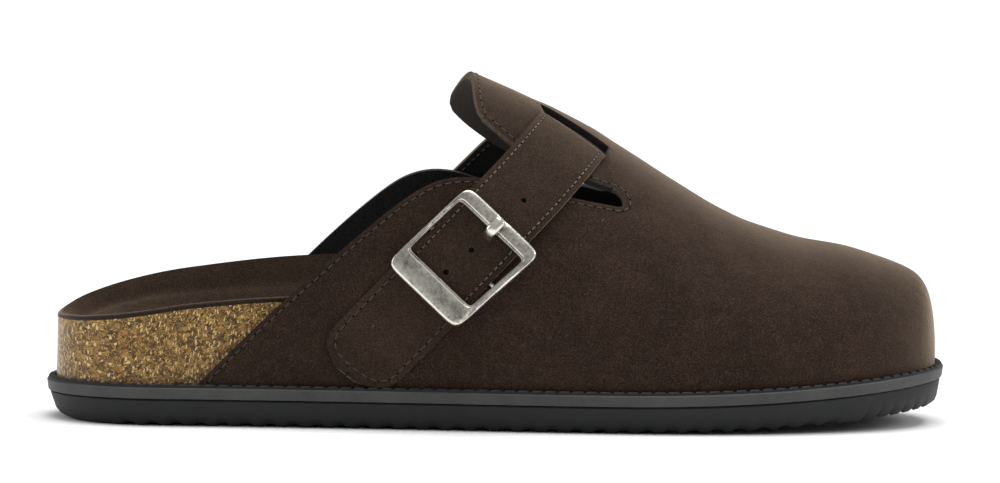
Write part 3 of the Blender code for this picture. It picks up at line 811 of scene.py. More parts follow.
def new_material(name, **values):
    """Material with values on its shader's sockets; returns it with its tree, shader and coordinates."""
    material = bpy.data.materials.new(name)
    material.use_nodes = True
    tree = material.node_tree
    shader = tree.nodes["Principled BSDF"]
    for socket, value in values.items():
        shader.inputs[socket.replace("_", " ").title().replace("Ior", "IOR")].default_value = value
    place = add_node(tree, "TexCoord")["Object"]
    return material, tree, shader, place


def per_metre(millimetres):
    """Texture scale that gives features of a size."""
    return 1000 / millimetres


def suede(name, dark, middle, light):
    """Sueded split leather, buffed to a short nap: matt, pale where the nap is stroked, dark where it lies.

    The nap is drawn coarser than its 0.1 mm fibres, so that it shows.
    """
    material, tree, shader, place = new_material(
        name, roughness=0.95, sheen_weight=1.0, sheen_roughness=0.36, specular_ior_level=0.12,
        sheen_tint=hex_colour(colours().sheen)
    )
    broad = add_node(tree, "TexNoise", {"Vector": place, "Scale": per_metre(22)})[0]
    inputs = {"Vector": place, "Scale": per_metre(4.0), "Detail": 4.0, "Roughness": 0.62}
    strokes = add_node(tree, "TexNoise", inputs)[0]
    nap = add_node(tree, "TexNoise", {"Vector": place, "Scale": per_metre(0.4), "Roughness": 0.7})[0]
    blend = 0.0
    for cloud, share in zip((broad, strokes, nap), NAP_SHARES):
        blend = add_node(tree, "Math", {0: cloud, 1: share, 2: blend}, operation="MULTIPLY_ADD")[0]
    centre = sum(NAP_SHARES) / 2
    stops = ((centre - NAP_SPREAD, dark), (centre + NAP_SPREAD, light), (centre, middle))
    tone = add_node(tree, "ValToRGB", {0: blend}, stops)[0]
    specks = add_node(tree, "TexVoronoi", {"Vector": place, "Scale": per_metre(7.5)})["Distance"]
    lint = add_node(tree, "Math", {0: specks, 1: LINT_SIZE}, operation="LESS_THAN")[0]
    lint = add_node(tree, "Math", {0: lint, 1: LINT_SHARE}, operation="MULTIPLY")[0]
    colour = add_node(tree, "Mix", {0: lint, 6: tone, 7: hex_colour("#8f8173")}, data_type="RGBA")[2]
    tree.links.new(colour, shader.inputs["Base Color"])
    fuzz = add_node(tree, "Math", {0: strokes, 1: FUZZ_SHARE, 2: nap}, operation="MULTIPLY_ADD")[0]
    bump = add_node(tree, "Bump", {"Strength": 0.45, "Distance": 0.0003, "Height": fuzz})[0]
    tree.links.new(bump, shader.inputs["Normal"])
    return material


def felt_lining():
    """Needled black felt lining: very matt, with a little fuzz that greys it."""
    material, tree, shader, place = new_material(
        "needled black felt lining", roughness=0.97, sheen_weight=0.18, sheen_roughness=0.5,
        specular_ior_level=0.1
    )
    inputs = {"Vector": place, "Scale": per_metre(0.7), "Detail": 4.0, "Roughness": 0.75}
    fuzz = add_node(tree, "TexNoise", inputs)[0]
    tone = add_node(tree, "ValToRGB", {0: fuzz}, ((0.3, "#0b0a0a"), (0.72, colours().lining)))[0]
    tree.links.new(tone, shader.inputs["Base Color"])
    bump = add_node(tree, "Bump", {"Strength": 0.5, "Distance": 0.0003, "Height": fuzz})[0]
    tree.links.new(bump, shader.inputs["Normal"])
    return material


def raw_edge():
    """Raw cut edge of split leather: fibrous and paler than the dyed nap."""
    material, tree, shader, place = new_material(
        "raw cut leather edge", roughness=0.9, specular_ior_level=0.2
    )
    inputs = {"Vector": place, "Scale": per_metre(0.9), "Detail": 3.0, "Roughness": 0.7}
    fibres = add_node(tree, "TexNoise", inputs)[0]
    tone = add_node(tree, "ValToRGB", {0: fibres}, ((0.3, "#3a3029"), (0.75, colours().cut_edge)))[0]
    tree.links.new(tone, shader.inputs["Base Color"])
    bump = add_node(tree, "Bump", {"Strength": 0.4, "Distance": 0.0003, "Height": fibres})[0]
    tree.links.new(bump, shader.inputs["Normal"])
    return material


def cork():
    """Granulated cork under clear lacquer: brown crumbs, dark bark between them, pale and dark flakes."""
    material, tree, shader, place = new_material(
        "lacquered granulated cork", roughness=0.5, specular_ior_level=0.25, coat_weight=0.35,
        coat_roughness=0.16, coat_ior=1.4
    )
    wobble = add_node(tree, "TexNoise", {"Vector": place, "Scale": per_metre(1.4)})["Color"]
    shift = add_node(tree, "VectorMath", {0: wobble, 1: (0.5,) * 3}, operation="SUBTRACT")[0]
    inputs = {0: shift, 1: (CRUMB_BEND,) * 3, 2: place}
    bent = add_node(tree, "VectorMath", inputs, operation="MULTIPLY_ADD")[0]
    inputs = {"Vector": bent, "Scale": per_metre(CRUMB_MM)}
    crumbs = add_node(tree, "TexVoronoi", inputs)
    gaps = add_node(tree, "TexVoronoi", inputs, feature="DISTANCE_TO_EDGE")[0]
    hue = add_node(tree, "SeparateColor", {0: crumbs["Color"]})[0]
    stops = ((0.0, "#3b2710"), (1.0, "#9a7638"), (0.3, "#5e4219"), (0.62, "#7a5826"))
    tone = add_node(tree, "ValToRGB", {0: hue}, stops)[0]
    gap = add_node(tree, "Math", {0: gaps, 1: CRUMB_GAP}, operation="LESS_THAN")[0]
    bark = add_node(tree, "TexNoise", {"Vector": place, "Scale": per_metre(2.6), "Roughness": 0.6})[0]
    dark = add_node(tree, "Math", {0: bark, 1: BARK_FROM}, operation="GREATER_THAN")[0]
    dark = add_node(tree, "Math", {0: dark, 1: gap}, operation="MULTIPLY")[0]
    colour = add_node(tree, "Mix", {0: dark, 6: tone, 7: hex_colour("#33240f")}, data_type="RGBA")[2]
    for turn, code in CORK_FLAKES:
        inputs = {"Vector": bent, "Rotation": Euler(turn), "Scale": FLAKE_SHAPE}
        lay = add_node(tree, "Mapping", inputs, vector_type="TEXTURE")[0]
        flakes = add_node(tree, "TexVoronoi", {"Vector": lay, "Scale": per_metre(FLAKE_MM)})["Distance"]
        flake = add_node(tree, "Math", {0: flakes, 1: FLAKE_SHARE}, operation="LESS_THAN")[0]
        colour = add_node(tree, "Mix", {0: flake, 6: colour, 7: hex_colour(code)}, data_type="RGBA")[2]
    tree.links.new(colour, shader.inputs["Base Color"])
    bump = add_node(tree, "Bump", {"Strength": 0.25, "Distance": 0.0002, "Height": crumbs["Distance"]})[0]
    tree.links.new(bump, shader.inputs["Normal"])
    return material


def moulded_foam(name, dark, light, roughness, pore_mm):
    """Moulded EVA: dull, with a fine pebbled skin, drawn coarser than its real pores, and rubbed patches."""
    material, tree, shader, place = new_material(name, roughness=roughness, specular_ior_level=0.35)
    inputs = {"Vector": place, "Scale": per_metre(11), "Detail": 4.0, "Roughness": 0.6}
    rubbed = add_node(tree, "TexNoise", inputs)[0]
    inputs = {"Vector": place, "Scale": per_metre(pore_mm), "Detail": 3.0, "Roughness": 0.7}
    pores = add_node(tree, "TexNoise", inputs)[0]
    blend = add_node(tree, "Math", {0: pores, 1: 0.5}, operation="MULTIPLY")[0]
    blend = add_node(tree, "Math", {0: rubbed, 1: 0.5, 2: blend}, operation="MULTIPLY_ADD")[0]
    tone = add_node(tree, "ValToRGB", {0: blend}, ((0.32, dark), (0.68, light)))[0]
    tree.links.new(tone, shader.inputs["Base Color"])
    bump = add_node(tree, "Bump", {"Strength": 0.3, "Distance": 0.0002, "Height": pores})[0]
    tree.links.new(bump, shader.inputs["Normal"])
    return material


def antique_nickel(name, dark, light, roughness):
    """Cast zinc under antiqued nickel plate: dark oxide in the pits, rubbed bright on the high spots."""
    material, tree, shader, place = new_material(name, metallic=1.0, roughness=roughness)
    inputs = {"Vector": place, "Scale": per_metre(1.1), "Detail": 5.0, "Roughness": 0.72}
    pits = add_node(tree, "TexNoise", inputs)[0]
    cloud = add_node(tree, "TexNoise", {"Vector": place, "Scale": per_metre(6), "Detail": 3.0})[0]
    blend = add_node(tree, "Math", {0: cloud, 1: CLOUD_SHARE, 2: pits}, operation="MULTIPLY_ADD")[0]
    tone = add_node(tree, "ValToRGB", {0: blend}, ((0.58, dark), (0.98, light)))[0]
    tree.links.new(tone, shader.inputs["Base Color"])
    inputs = {"Value": pits, "From Min": 0.3, "From Max": 0.7}
    inputs |= {"To Min": roughness + DULL_PITS, "To Max": roughness - BRIGHT_SPOTS}
    gloss = add_node(tree, "MapRange", inputs)[0]
    tree.links.new(gloss, shader.inputs["Roughness"])
    bump = add_node(tree, "Bump", {"Strength": 0.2, "Distance": 0.0001, "Height": pits})[0]
    tree.links.new(bump, shader.inputs["Normal"])
    return material


def sewing_thread(name, light):
    """Twisted polyester thread, waxed: a soft sheen on each raised stitch."""
    material, tree, shader, place = new_material(name, roughness=0.6, sheen_weight=0.3, sheen_roughness=0.4)
    twist = add_node(tree, "TexNoise", {"Vector": place, "Scale": per_metre(1.0)})[0]
    tone = add_node(tree, "ValToRGB", {0: twist}, ((0.35, "#2b221c"), (0.68, light)))[0]
    tree.links.new(tone, shader.inputs["Base Color"])
    return material


def needle_hole_shade():
    """Painted shade of a needle hole in suede: a near-black, faintly mottled bead on the surface stands for
    the shadow in the pit.
    """
    material, tree, shader, place = new_material("pierced suede", roughness=1.0, specular_ior_level=0.0)
    crush = add_node(tree, "TexNoise", {"Vector": place, "Scale": per_metre(0.4)})[0]
    tone = add_node(tree, "ValToRGB", {0: crush}, ((0.3, "#080605"), (0.7, "#17110d")))[0]
    tree.links.new(tone, shader.inputs["Base Color"])
    return material


def studio_floor():
    """Matt white paper sweep, with hardly any grain."""
    material, tree, shader, place = new_material("matt white paper", roughness=0.95, specular_ior_level=0.1)
    grain = add_node(tree, "TexNoise", {"Vector": place, "Scale": per_metre(40)})[0]
    tone = add_node(tree, "ValToRGB", {0: grain}, ((0.3, "#f3f3f3"), (0.7, "#f7f7f7")))[0]
    tree.links.new(tone, shader.inputs["Base Color"])
    return material


def brown_suede(name, middle):
    """Suede in the shoe's browns about an even middle colour."""
    return shared(suede, name, colours().suede_dark, middle, colours().suede_light)


def strap_suede():
    """Suede of the strap and the tab, a little paler than the upper's."""
    return brown_suede("brushed strap suede", colours().strap)


def black_rubber():
    """Black rubber of the outsole and the welt strip."""
    shades = (colours().outsole_dark, colours().outsole)
    return shared(moulded_foam, "moulded black EVA rubber", *shades, roughness=0.62, pore_mm=0.7)


def rubbed_nickel_with_highlight():
    """Plate rubbed free of oxide by wear, on the frame's edges and the prong, and lightened further as
    painted highlight.
    """
    shades = (colours().nickel, colours().rubbed_edge_highlight)
    return shared(antique_nickel, "rubbed nickel edge", *shades, roughness=0.24)


def seam_finish(name, light):
    """Thread of a seam, and the painted shade of its needle holes."""
    return [shared(sewing_thread, name, light), shared(needle_hole_shade)]


# Sole


def sole_place(along, across, inset):
    """Distance from the heel and place across of a point that far in from the sole's edge."""
    start = inset
    end = LENGTH - inset
    along = mix(start, end, along / LENGTH)
    heel = rounded_end(along - start, HEEL_REACH - inset, HEEL_FULLNESS)
    toe = rounded_end(end - along, TOE_REACH - inset, TOE_FULLNESS)
    half = (smooth(SOLE, "half", along) - inset) * heel * toe
    return along, smooth(SOLE, "middle", along) + across * half


def crowded_columns(count):
    """Places along the shoe that crowd towards heel and toe."""
    return [LENGTH * (1 - math.cos(math.pi * k / count)) / 2 for k in range(count + 1)]


def even_shares(count):
    """Even steps across, from -1 at the outer side to 1 at the inner side."""
    return [mix(-1, 1, k / count) for k in range(count + 1)]


def layer(levels, columns, across, finish=None):
    """Closed layer of the sole, wrapped round its levels from bottom to top.

    A level is a pair of functions: the inset at a column's place along the sole, and the height at a place
    along, a share across and the column's place.
    """
    sides = levels[1:-1]
    around = [(levels[0], share) for share in across]
    around += [(level, 1.0) for level in sides]
    around += [(levels[-1], share) for share in reversed(across)]
    around += [(level, -1.0) for level in reversed(sides)]
    around.append(around[0])
    bm = bmesh.new()

    def corner(column, row):
        (inset, height), share = around[row]
        if column in (0, len(columns) - 1):
            share = 0.0
        along, y = sole_place(columns[column], share, inset(columns[column]))
        return Vector((along - LENGTH / 2, y, height(along, share, columns[column])))

    sheet(bm, len(columns) - 1, len(around) - 1, corner, finish=finish)
    weld(bm)
    return bm


def tread_columns():
    """Places along the outsole with the depth of the tread's notches there."""
    columns = crowded_columns(OUTSOLE_COLUMNS)
    plain = [place for place in columns if place < NOTCH_FIRST - NOTCH_WIDTH or place > TOE_NOTCHES[-1]]
    depths = dict.fromkeys(plain + list(END_COLUMNS), 0.0)
    count = round((NOTCH_LAST - NOTCH_FIRST) / NOTCH_PITCH)
    notches = [(NOTCH_FIRST + k * NOTCH_PITCH, NOTCH_WIDTH, NOTCH_DEPTH) for k in range(count + 1)]
    notches += [(place, TOE_NOTCH_WIDTH, TOE_NOTCH_DEPTH) for place in TOE_NOTCHES]
    for middle, width, depth in notches:
        for share, deep in NOTCH_PROFILE:
            depths[middle + share * width / 2] = deep * depth
    return dict(sorted(depths.items()))


def outsole():
    notches = tread_columns()

    def level(share_in, share_up):
        def inset(along):
            toe = ease((along - TOE_TAPER_START) / (LENGTH - TOE_TAPER_START))
            return OUTSOLE_INSET + mix(OUTSOLE_TAPER, TOE_TAPER, toe) * (1 - share_in)

        def height(along, across, column):
            low = tread_height(along)
            if share_up < NOTCHED_SIDE and (abs(across) > EDGE_TREAD or abs(across) < MIDDLE_TREAD):
                low += notches[column]
            return mix(low, OUTSOLE_HEIGHT - GAP + toe_spring(along), share_up)

        return inset, height

    levels = [level(*shares) for shares in OUTSOLE_SIDE]
    bm = layer(levels, list(notches), TREAD_ACROSS)
    add_piece("moulded_outsole", bm, [black_rubber()], "outsole")


def welt_band():
    def level(inset, share_up):
        def inset_at(along):
            return inset

        def height(along, across, column):
            return OUTSOLE_HEIGHT + MIDSOLE_HEIGHT * share_up + toe_spring(along)

        return inset_at, height

    levels = [level(*row) for row in WELT_SIDE]
    bm = layer(levels, crowded_columns(WELT_COLUMNS), even_shares(WELT_ROWS))
    shades = (colours().welt_dark, colours().welt)
    grey = shared(moulded_foam, "skived grey EVA foam", *shades, roughness=0.55, pore_mm=0.5)
    add_piece("welt_band", bm, [grey], "midsole")


Stop = namedtuple("Stop", "point run normal")


def walk(points, normals, pitch, closed=False):
    """Evenly spaced stops along a line of points, each with its direction and normal."""
    if closed:
        points = points + points[:1]
        normals = normals + normals[:1]
    lengths = [0.0]
    for start, end in zip(points, points[1:]):
        lengths.append(lengths[-1] + (end - start).length)
    count = max(round(lengths[-1] / pitch), 1)
    stops = []
    k = 0
    for n in range(count):
        distance = lengths[-1] * (n + 0.5) / count
        while lengths[k + 1] < distance:
            k += 1
        share = (distance - lengths[k]) / (lengths[k + 1] - lengths[k])
        normal = normals[k].lerp(normals[k + 1], share).normalized()
        run = (points[k + 1] - points[k]).normalized()
        stops.append(Stop(points[k].lerp(points[k + 1], share), run, normal))
    return stops


def stop_matrix(stop, size, lift=0.0):
    """Frame of a small part at a stop: X along the line, Z outwards."""
    side = stop.normal.cross(stop.run).normalized()
    turn = Matrix((stop.run, side, stop.normal)).transposed().to_4x4()
    return Matrix.Translation(stop.point + stop.normal * lift) @ turn @ Matrix.Diagonal((*size, 1))


def welt_line(inset):
    """Points round the ledge of the welt, that far in from its edge."""
    places = crowded_columns(STRIP_COLUMNS)
    points = []
    for side, row in ((-1, places), (1, places[::-1])):
        for place in row[:-1]:
            along, y = sole_place(place, side, inset)
            height = OUTSOLE_HEIGHT + MIDSOLE_HEIGHT + toe_spring(along)
            points.append(Vector((along - LENGTH / 2, y, height)))
    return points


def welt_strip():
    """Strip of slanted moulded blocks that is glued on the ledge round the upper."""
    pitch = sizes().welt_pitch
    height = sizes().welt_height
    bm = bmesh.new()
    points = welt_line(WELT_STRIP_INSET)
    slant = Matrix.Shear("XZ", 4, (WELT_BLOCK_SLANT, 0))
    shape = Matrix.Diagonal((pitch * WELT_BLOCK_SHARE, WELT_BLOCK_WIDTH, height, 1))
    for stop in walk(points, [Vector((0, 0, 1))] * len(points), pitch, closed=True):
        matrix = stop_matrix(stop, (1, 1, 1), height / 2 - GAP / 2)
        bmesh.ops.create_cube(bm, size=1, matrix=matrix @ slant @ shape)
    chamfer(bm, bm.edges, height * WELT_BLOCK_CHAMFER)
    lines = []
    for side, rise in WELT_STRIP_SECTION:
        line = welt_line(WELT_STRIP_INSET + side * WELT_STRIP_WIDTH / 2)
        lines.append([point + Vector((0, 0, height * rise)) for point in line])

    def corner(column, row):
        return lines[row % len(lines)][column % len(points)]

    sheet(bm, len(points), len(lines), corner)
    weld(bm)
    add_piece("welt_strip", bm, [black_rubber()])


def cover_top(along, across):
    """Height of the cover, with the outer rim a little proud as in the photo."""
    return cover_height(along, across) + RIM_RAISE * max(-across, 0) ** RIM_SHARPNESS


def cork_footbed():
    def foot(along):
        return smooth(FOOTBED, "foot_inset", along)

    def rim(along):
        return smooth(FOOTBED, "rim_inset", along)

    def foot_height(along, across, column):
        return feather_line(along)

    def rim_height(along, across, column):
        return cover_top(along, across) - COVER_SHOWN - GAP

    levels = [(foot, foot_height), (rim, rim_height)]
    bm = layer(levels, crowded_columns(CORK_COLUMNS), even_shares(CORK_ROWS))
    add_piece("cork_footbed", bm, [shared(cork)], "footbed")


def footbed_cover():
    across = [math.sin(math.pi / 2 * share) for share in even_shares(COVER_ROWS)]

    def level(more_inset, share_up):
        def inset(along):
            return smooth(FOOTBED, "rim_inset", along) + more_inset

        def height(along, share, column):
            heel = max(1 - column / HEEL_REACH, 0) ** HEEL_FULLNESS
            place = (heel + abs(share) ** HEEL_FULLNESS * (1 - heel)) ** (1 / HEEL_FULLNESS)
            fold = COVER_FOLD * math.exp(-((place - COVER_FOLD_PLACE) / COVER_FOLD_WIDTH) ** 2)
            return cover_top(along, share) - COVER_SHOWN * (1 - share_up) - fold * share_up

        return inset, height

    levels = [level(*row) for row in COVER_SIDE]
    # The lowest row of faces on each side is drawn in the black felt, a dark line along the foot of the
    # cover's edge
    dark_rows = (len(across) - 1, 2 * len(across) + 2 * (len(levels) - 2) - 1)

    def finish(column, row):
        return 1 if row in dark_rows else 0

    bm = layer(levels, crowded_columns(COVER_COLUMNS), across, finish)
    finishes = [brown_suede("footbed suede", colours().footbed), shared(felt_lining)]
    add_piece("footbed_cover", bm, finishes, "insole")


# Upper


def tongue_angles(along):
    """Angles of the tongue's main rows, from outer to inner edge, with a row on each slot edge."""
    low, high = slot_edges(along)
    start = slit_edge(TONGUE, -1, along)
    end = slit_edge(TONGUE, 1, along)
    outer = [start, mix(start, -low, 0.5), -low, -high, -high / 2]
    inner = [high / 2, high, low, mix(low, end, 0.5), end]
    return outer + [0.0] + inner


def tongue_stations():
    """Shares along the tongue of its main columns, with a column on each end of the slots."""
    start = (SLOT_START - TONGUE_END) / (SLIT_END - TONGUE_END)
    stop = (SLOT_STOP - TONGUE_END) / (SLIT_END - TONGUE_END)
    rear = [mix(0, start, k / TONGUE_STEPS) for k in range(TONGUE_STEPS)]
    slot = [mix(start, stop, k / SLOT_STEPS) for k in range(SLOT_STEPS)]
    return rear + slot + [stop, mix(stop, 1, 0.5), 1.0]


def tongue_point(column, row):
    """Point of the tongue at places among its main columns and rows."""
    across = 2 * row / TONGUE_ROWS - 1
    rear = max(0, 1 - column / TONGUE_STEPS)
    corner = TONGUE_CORNERS[-1 if across < 0 else 1]
    turn = max(abs(across) - corner.start, 0) / (1 - corner.start)
    rounding = corner.reach * (1 - math.sqrt(max(1 - turn * turn, 0)))
    along = mix(TONGUE_END, SLIT_END, at(tongue_stations(), column))
    turned = max(0, at(tongue_angles(along), row) / slit_edge(TONGUE, 1, along))
    along += (rounding - TONGUE_SKEW * turned**TONGUE_SKEW_POWER) * rear
    point = upper_point(along, at(tongue_angles(along), row))
    bulge = at(TONGUE_BULGE, row)
    fade = (LIFT_FADE, LIFT_REACH) if bulge > 0 else (PRESS_FADE, 0)
    return point + outward(point).normalized() * (slot_bulge(along, *fade) * bulge)


def quarter_angle(along, hand, row):
    """Angle of a quarter's row, from the feather line to the collar."""
    return mix(hand * 90, slit_edge(COLLAR, hand, along), row / QUARTER_ROWS)


def upper_sheet():
    """Outer face of the upper: two quarters, the tongue with its slots, and the vamp."""
    bm = bmesh.new()
    for hand in (-1, 1):

        def quarter_point(column, row):
            share = 1 - (1 - column / QUARTER_STEPS) ** QUARTER_CROWDING
            along = mix(COLLAR_START, SLIT_END, share)
            return upper_point(along, quarter_angle(along, hand, row))

        def quarter_finish(column, row):
            return OUTER_FINISH if hand < 0 else INNER_SHADED_EDGE_FINISH

        sheet(bm, QUARTER_STEPS, QUARTER_ROWS, quarter_point, finish=quarter_finish)

    columns = len(tongue_stations()) - 1
    slots = set()
    for column in range(TONGUE_STEPS * FINER, (TONGUE_STEPS + SLOT_STEPS) * FINER):
        for row in range(FINER):
            slots.add((column, OUTER_SLOT_ROW * FINER + row))
            slots.add((column, INNER_SLOT_ROW * FINER + row))

    def fine_tongue_point(column, row):
        return tongue_point(column / FINER, row / FINER)

    def tongue_finish(column, row):
        # Faces beside a slot, whose cut edges stay dark
        start = TONGUE_STEPS * FINER
        by_slot = start - 2 < column < start + SLOT_STEPS * FINER + 1
        return SLOT_FINISH if by_slot else TONGUE_FINISH

    sheet(bm, columns * FINER, TONGUE_ROWS * FINER, fine_tongue_point, slots, tongue_finish)
    outer = [quarter_angle(SLIT_END, -1, row) for row in range(QUARTER_ROWS)]
    inner = [quarter_angle(SLIT_END, 1, row) for row in range(QUARTER_ROWS)]
    tongue = tongue_angles(SLIT_END)
    middle = [at(tongue, k / FINER) for k in range(TONGUE_ROWS * FINER + 1)]
    angles = outer + middle + inner[::-1]

    def vamp_point(column, row):
        left = (1 - column / VAMP_STEPS) ** TOE_CROWDING
        along = mix(LENGTH - UPPER_LEDGE, SLIT_END, left)
        return upper_point(along, angles[row])

    sheet(bm, VAMP_STEPS, len(angles) - 1, vamp_point)
    weld(bm)
    return bm


def crease(bm):
    """Presses the soft troughs of wear into the upper and raises the shoulder of its toe."""
    tree = kdtree.KDTree(len(CREASES) * CREASE_STEPS)
    owners = []
    for line in CREASES:
        for k in range(CREASE_STEPS):
            share = k / (CREASE_STEPS - 1)
            point = upper_point(mix(line.along, line.to_along, share), mix(line.angle, line.to_angle, share))
            fade = math.sin(math.pi * mix(CREASE_FADE, 1 - CREASE_FADE, share))
            tree.insert(point, len(owners))
            owners.append((line, fade))
    tree.balance()
    for vert in bm.verts:
        pressed = {}
        for _, index, distance in tree.find_range(vert.co, CREASE_REACH):
            line, fade = owners[index]
            depth = line.depth * fade * math.exp(-(distance / line.half_width) ** 2)
            if abs(depth) > abs(pressed.get(line, 0.0)):
                pressed[line] = depth
        if pressed:
            vert.co -= outward(vert.co).normalized() * sum(pressed.values())


def upper():
    bm = upper_sheet()
    crease(bm)
    brown = brown_suede("brushed brown suede", colours().suede)
    pale = colours().tongue_lining
    grey = shared(suede, "sueded tongue lining", colours().lining, pale, pale)
    felt = shared(felt_lining)
    raw = shared(raw_edge)
    # The inner quarter's cut edge (the last felt) is painted shade for the far collar's shadowed edge
    finishes = [brown, felt, raw, brown, grey, raw, brown, grey, felt, brown, felt, felt]
    piece = add_piece("suede_upper", bm, finishes, "upper")
    add_wall(piece, WALL, -1, inside=1, rim=2)
    add_rounding(piece, WALL)


# Strap and tab


def band_point(angle, offset, lift):
    """Point over the upper, that far across the band from its middle."""
    middle, _, side = band_frame(angle)
    place = on_upper(middle + side * offset)
    return on_upper(place, lift(angle, place))


def strap_lift(angle, place):
    """Height of the strap's underside over the upper; it dives through the slots under the tongue."""
    along = place.x + LENGTH / 2
    low, high = slot_edges(along, tapered=False)
    turn = angle_at(along, place.z, 1)
    edge = abs(slit_edge(TONGUE, -1 if angle < 0 else 1, along))
    pressed = TONGUE_PRESS * min(max((edge - turn) / (edge - low), 0), 1)
    share = (turn - high) / (low - high)
    dive = ease((share - STRAP_DIVE_END) / (STRAP_DIVE_START - STRAP_DIVE_END))
    return mix(STRAP_UNDER, smooth(STRAP_LIFT, "lift", angle) - pressed, dive)


def tab_lift(angle, place):
    """Height of the tab's underside over the upper, which is the same all along."""
    return GAP


def strap_angles():
    """Angles from the crest of the strap's columns, from its end at the buckle to its sewn end."""
    start = strap_angle(-BUCKLE_PLACE - BUCKLE_WINDOW / 2 - STRAP_TAIL)
    return [mix(start, STRAP_INNER_END, k / STRAP_COLUMNS) for k in range(STRAP_COLUMNS + 1)]


def tab_shares():
    """Shares along the tab of its columns, which crowd towards its rounded end."""
    return [1 - (1 - k / TAB_COLUMNS) ** TAB_CROWDING for k in range(TAB_COLUMNS + 1)]


def tab_angle(share, across=0.0):
    """Angle from the crest at a share along the tab, whose end reaches further at its rear edge."""
    return strap_angle(TAB_LENGTH * (1 - share) - TAB_END - TAB_LEAN * across * share**2)


def tab_half_width(share, inset=0.0):
    """Half of the tab's width at a share along it, that far in from its edge."""
    left = (1 - share) * TAB_LENGTH - inset
    return max((TAB_WIDTH / 2 - inset) * rounded_end(left, TAB_END_REACH - inset, TAB_END_FULLNESS), TAB_TIP)


def band(angle_at_place, half_widths, lift):
    """Sheet laid along the strap's line, lower along its pressed edges."""
    bm = bmesh.new()

    def corner(column, row):
        across = 2 * row / BAND_ROWS - 1

        def pressed(angle, place):
            return lift(angle, place) - BAND_CROWN * across**4

        return band_point(angle_at_place(column, across), half_widths[column] * across, pressed)

    sheet(bm, len(half_widths) - 1, BAND_ROWS, corner)
    weld(bm)
    return bm


def cut_holes(piece):
    """Punches the strap's holes, with a wider one where the prong comes through, and keeps the result."""
    bm = bmesh.new()
    for hole in HOLES:
        angle = strap_angle(hole.up - BUCKLE_PLACE)
        floor = strap_lift(angle, strap_centre(angle)) + hole.floor
        matrix = band_matrix(angle) @ Matrix.Translation((0, hole.across, floor + HOLE_DEPTH / 2))
        add_pin(bm, hole.radius, HOLE_DEPTH, matrix)
    for face in bm.faces:
        face.material_index = STRAP_LINING
    punch = add_object("punch", bm)
    cut = piece.modifiers.new("holes", "BOOLEAN")
    cut.operation = "DIFFERENCE"
    cut.solver = "EXACT"
    cut.object = punch
    bpy.context.view_layer.update()
    done = bpy.data.meshes.new_from_object(piece.evaluated_get(bpy.context.evaluated_depsgraph_get()))
    piece.modifiers.clear()
    piece.data = done
    bm = bmesh.new()
    bm.from_mesh(done)
    bmesh.ops.triangulate(bm, faces=[face for face in bm.faces if len(face.verts) > 4])
    bm.to_mesh(done)
    bm.free()
    done.set_sharp_from_angle(angle=math.radians(SHARP_ANGLE))
    bpy.data.objects.remove(punch)


def strap():
    angles = strap_angles()

    def angle(column, across):
        return angles[column]

    bm = band(angle, [STRAP_WIDTH / 2] * len(angles), strap_lift)
    piece = add_piece("suede_strap", bm, [strap_suede(), shared(felt_lining)], "strap")
    add_wall(piece, STRAP_THICKNESS, 1, inside=STRAP_LINING)
    add_rounding(piece, STRAP_THICKNESS)
    cut_holes(piece)


def buckle_tab():
    shares = tab_shares()
    halves = [tab_half_width(share) for share in shares]

    def angle(column, across):
        return tab_angle(shares[column], across * halves[column] / (TAB_WIDTH / 2))

    bm = band(angle, halves, tab_lift)
    piece = add_piece("suede_tab", bm, [strap_suede()], "buckle_tab")
    add_wall(piece, TAB_THICKNESS, 1)
    add_rounding(piece, TAB_THICKNESS)


# Buckle


def barrel(turn, start, end, half, fullness):
    """Corner of a square with bulging sides, at a turn round it."""
    size = (abs(math.cos(turn)) ** fullness + abs(math.sin(turn)) ** fullness) ** (-1 / fullness)
    return Vector((mix(start, end, (1 + size * math.cos(turn)) / 2), half * size * math.sin(turn), 0))


def buckle_place():
    """Frame of the buckle, with its origin in the middle of its window."""
    return band_matrix(strap_angle(-BUCKLE_PLACE))


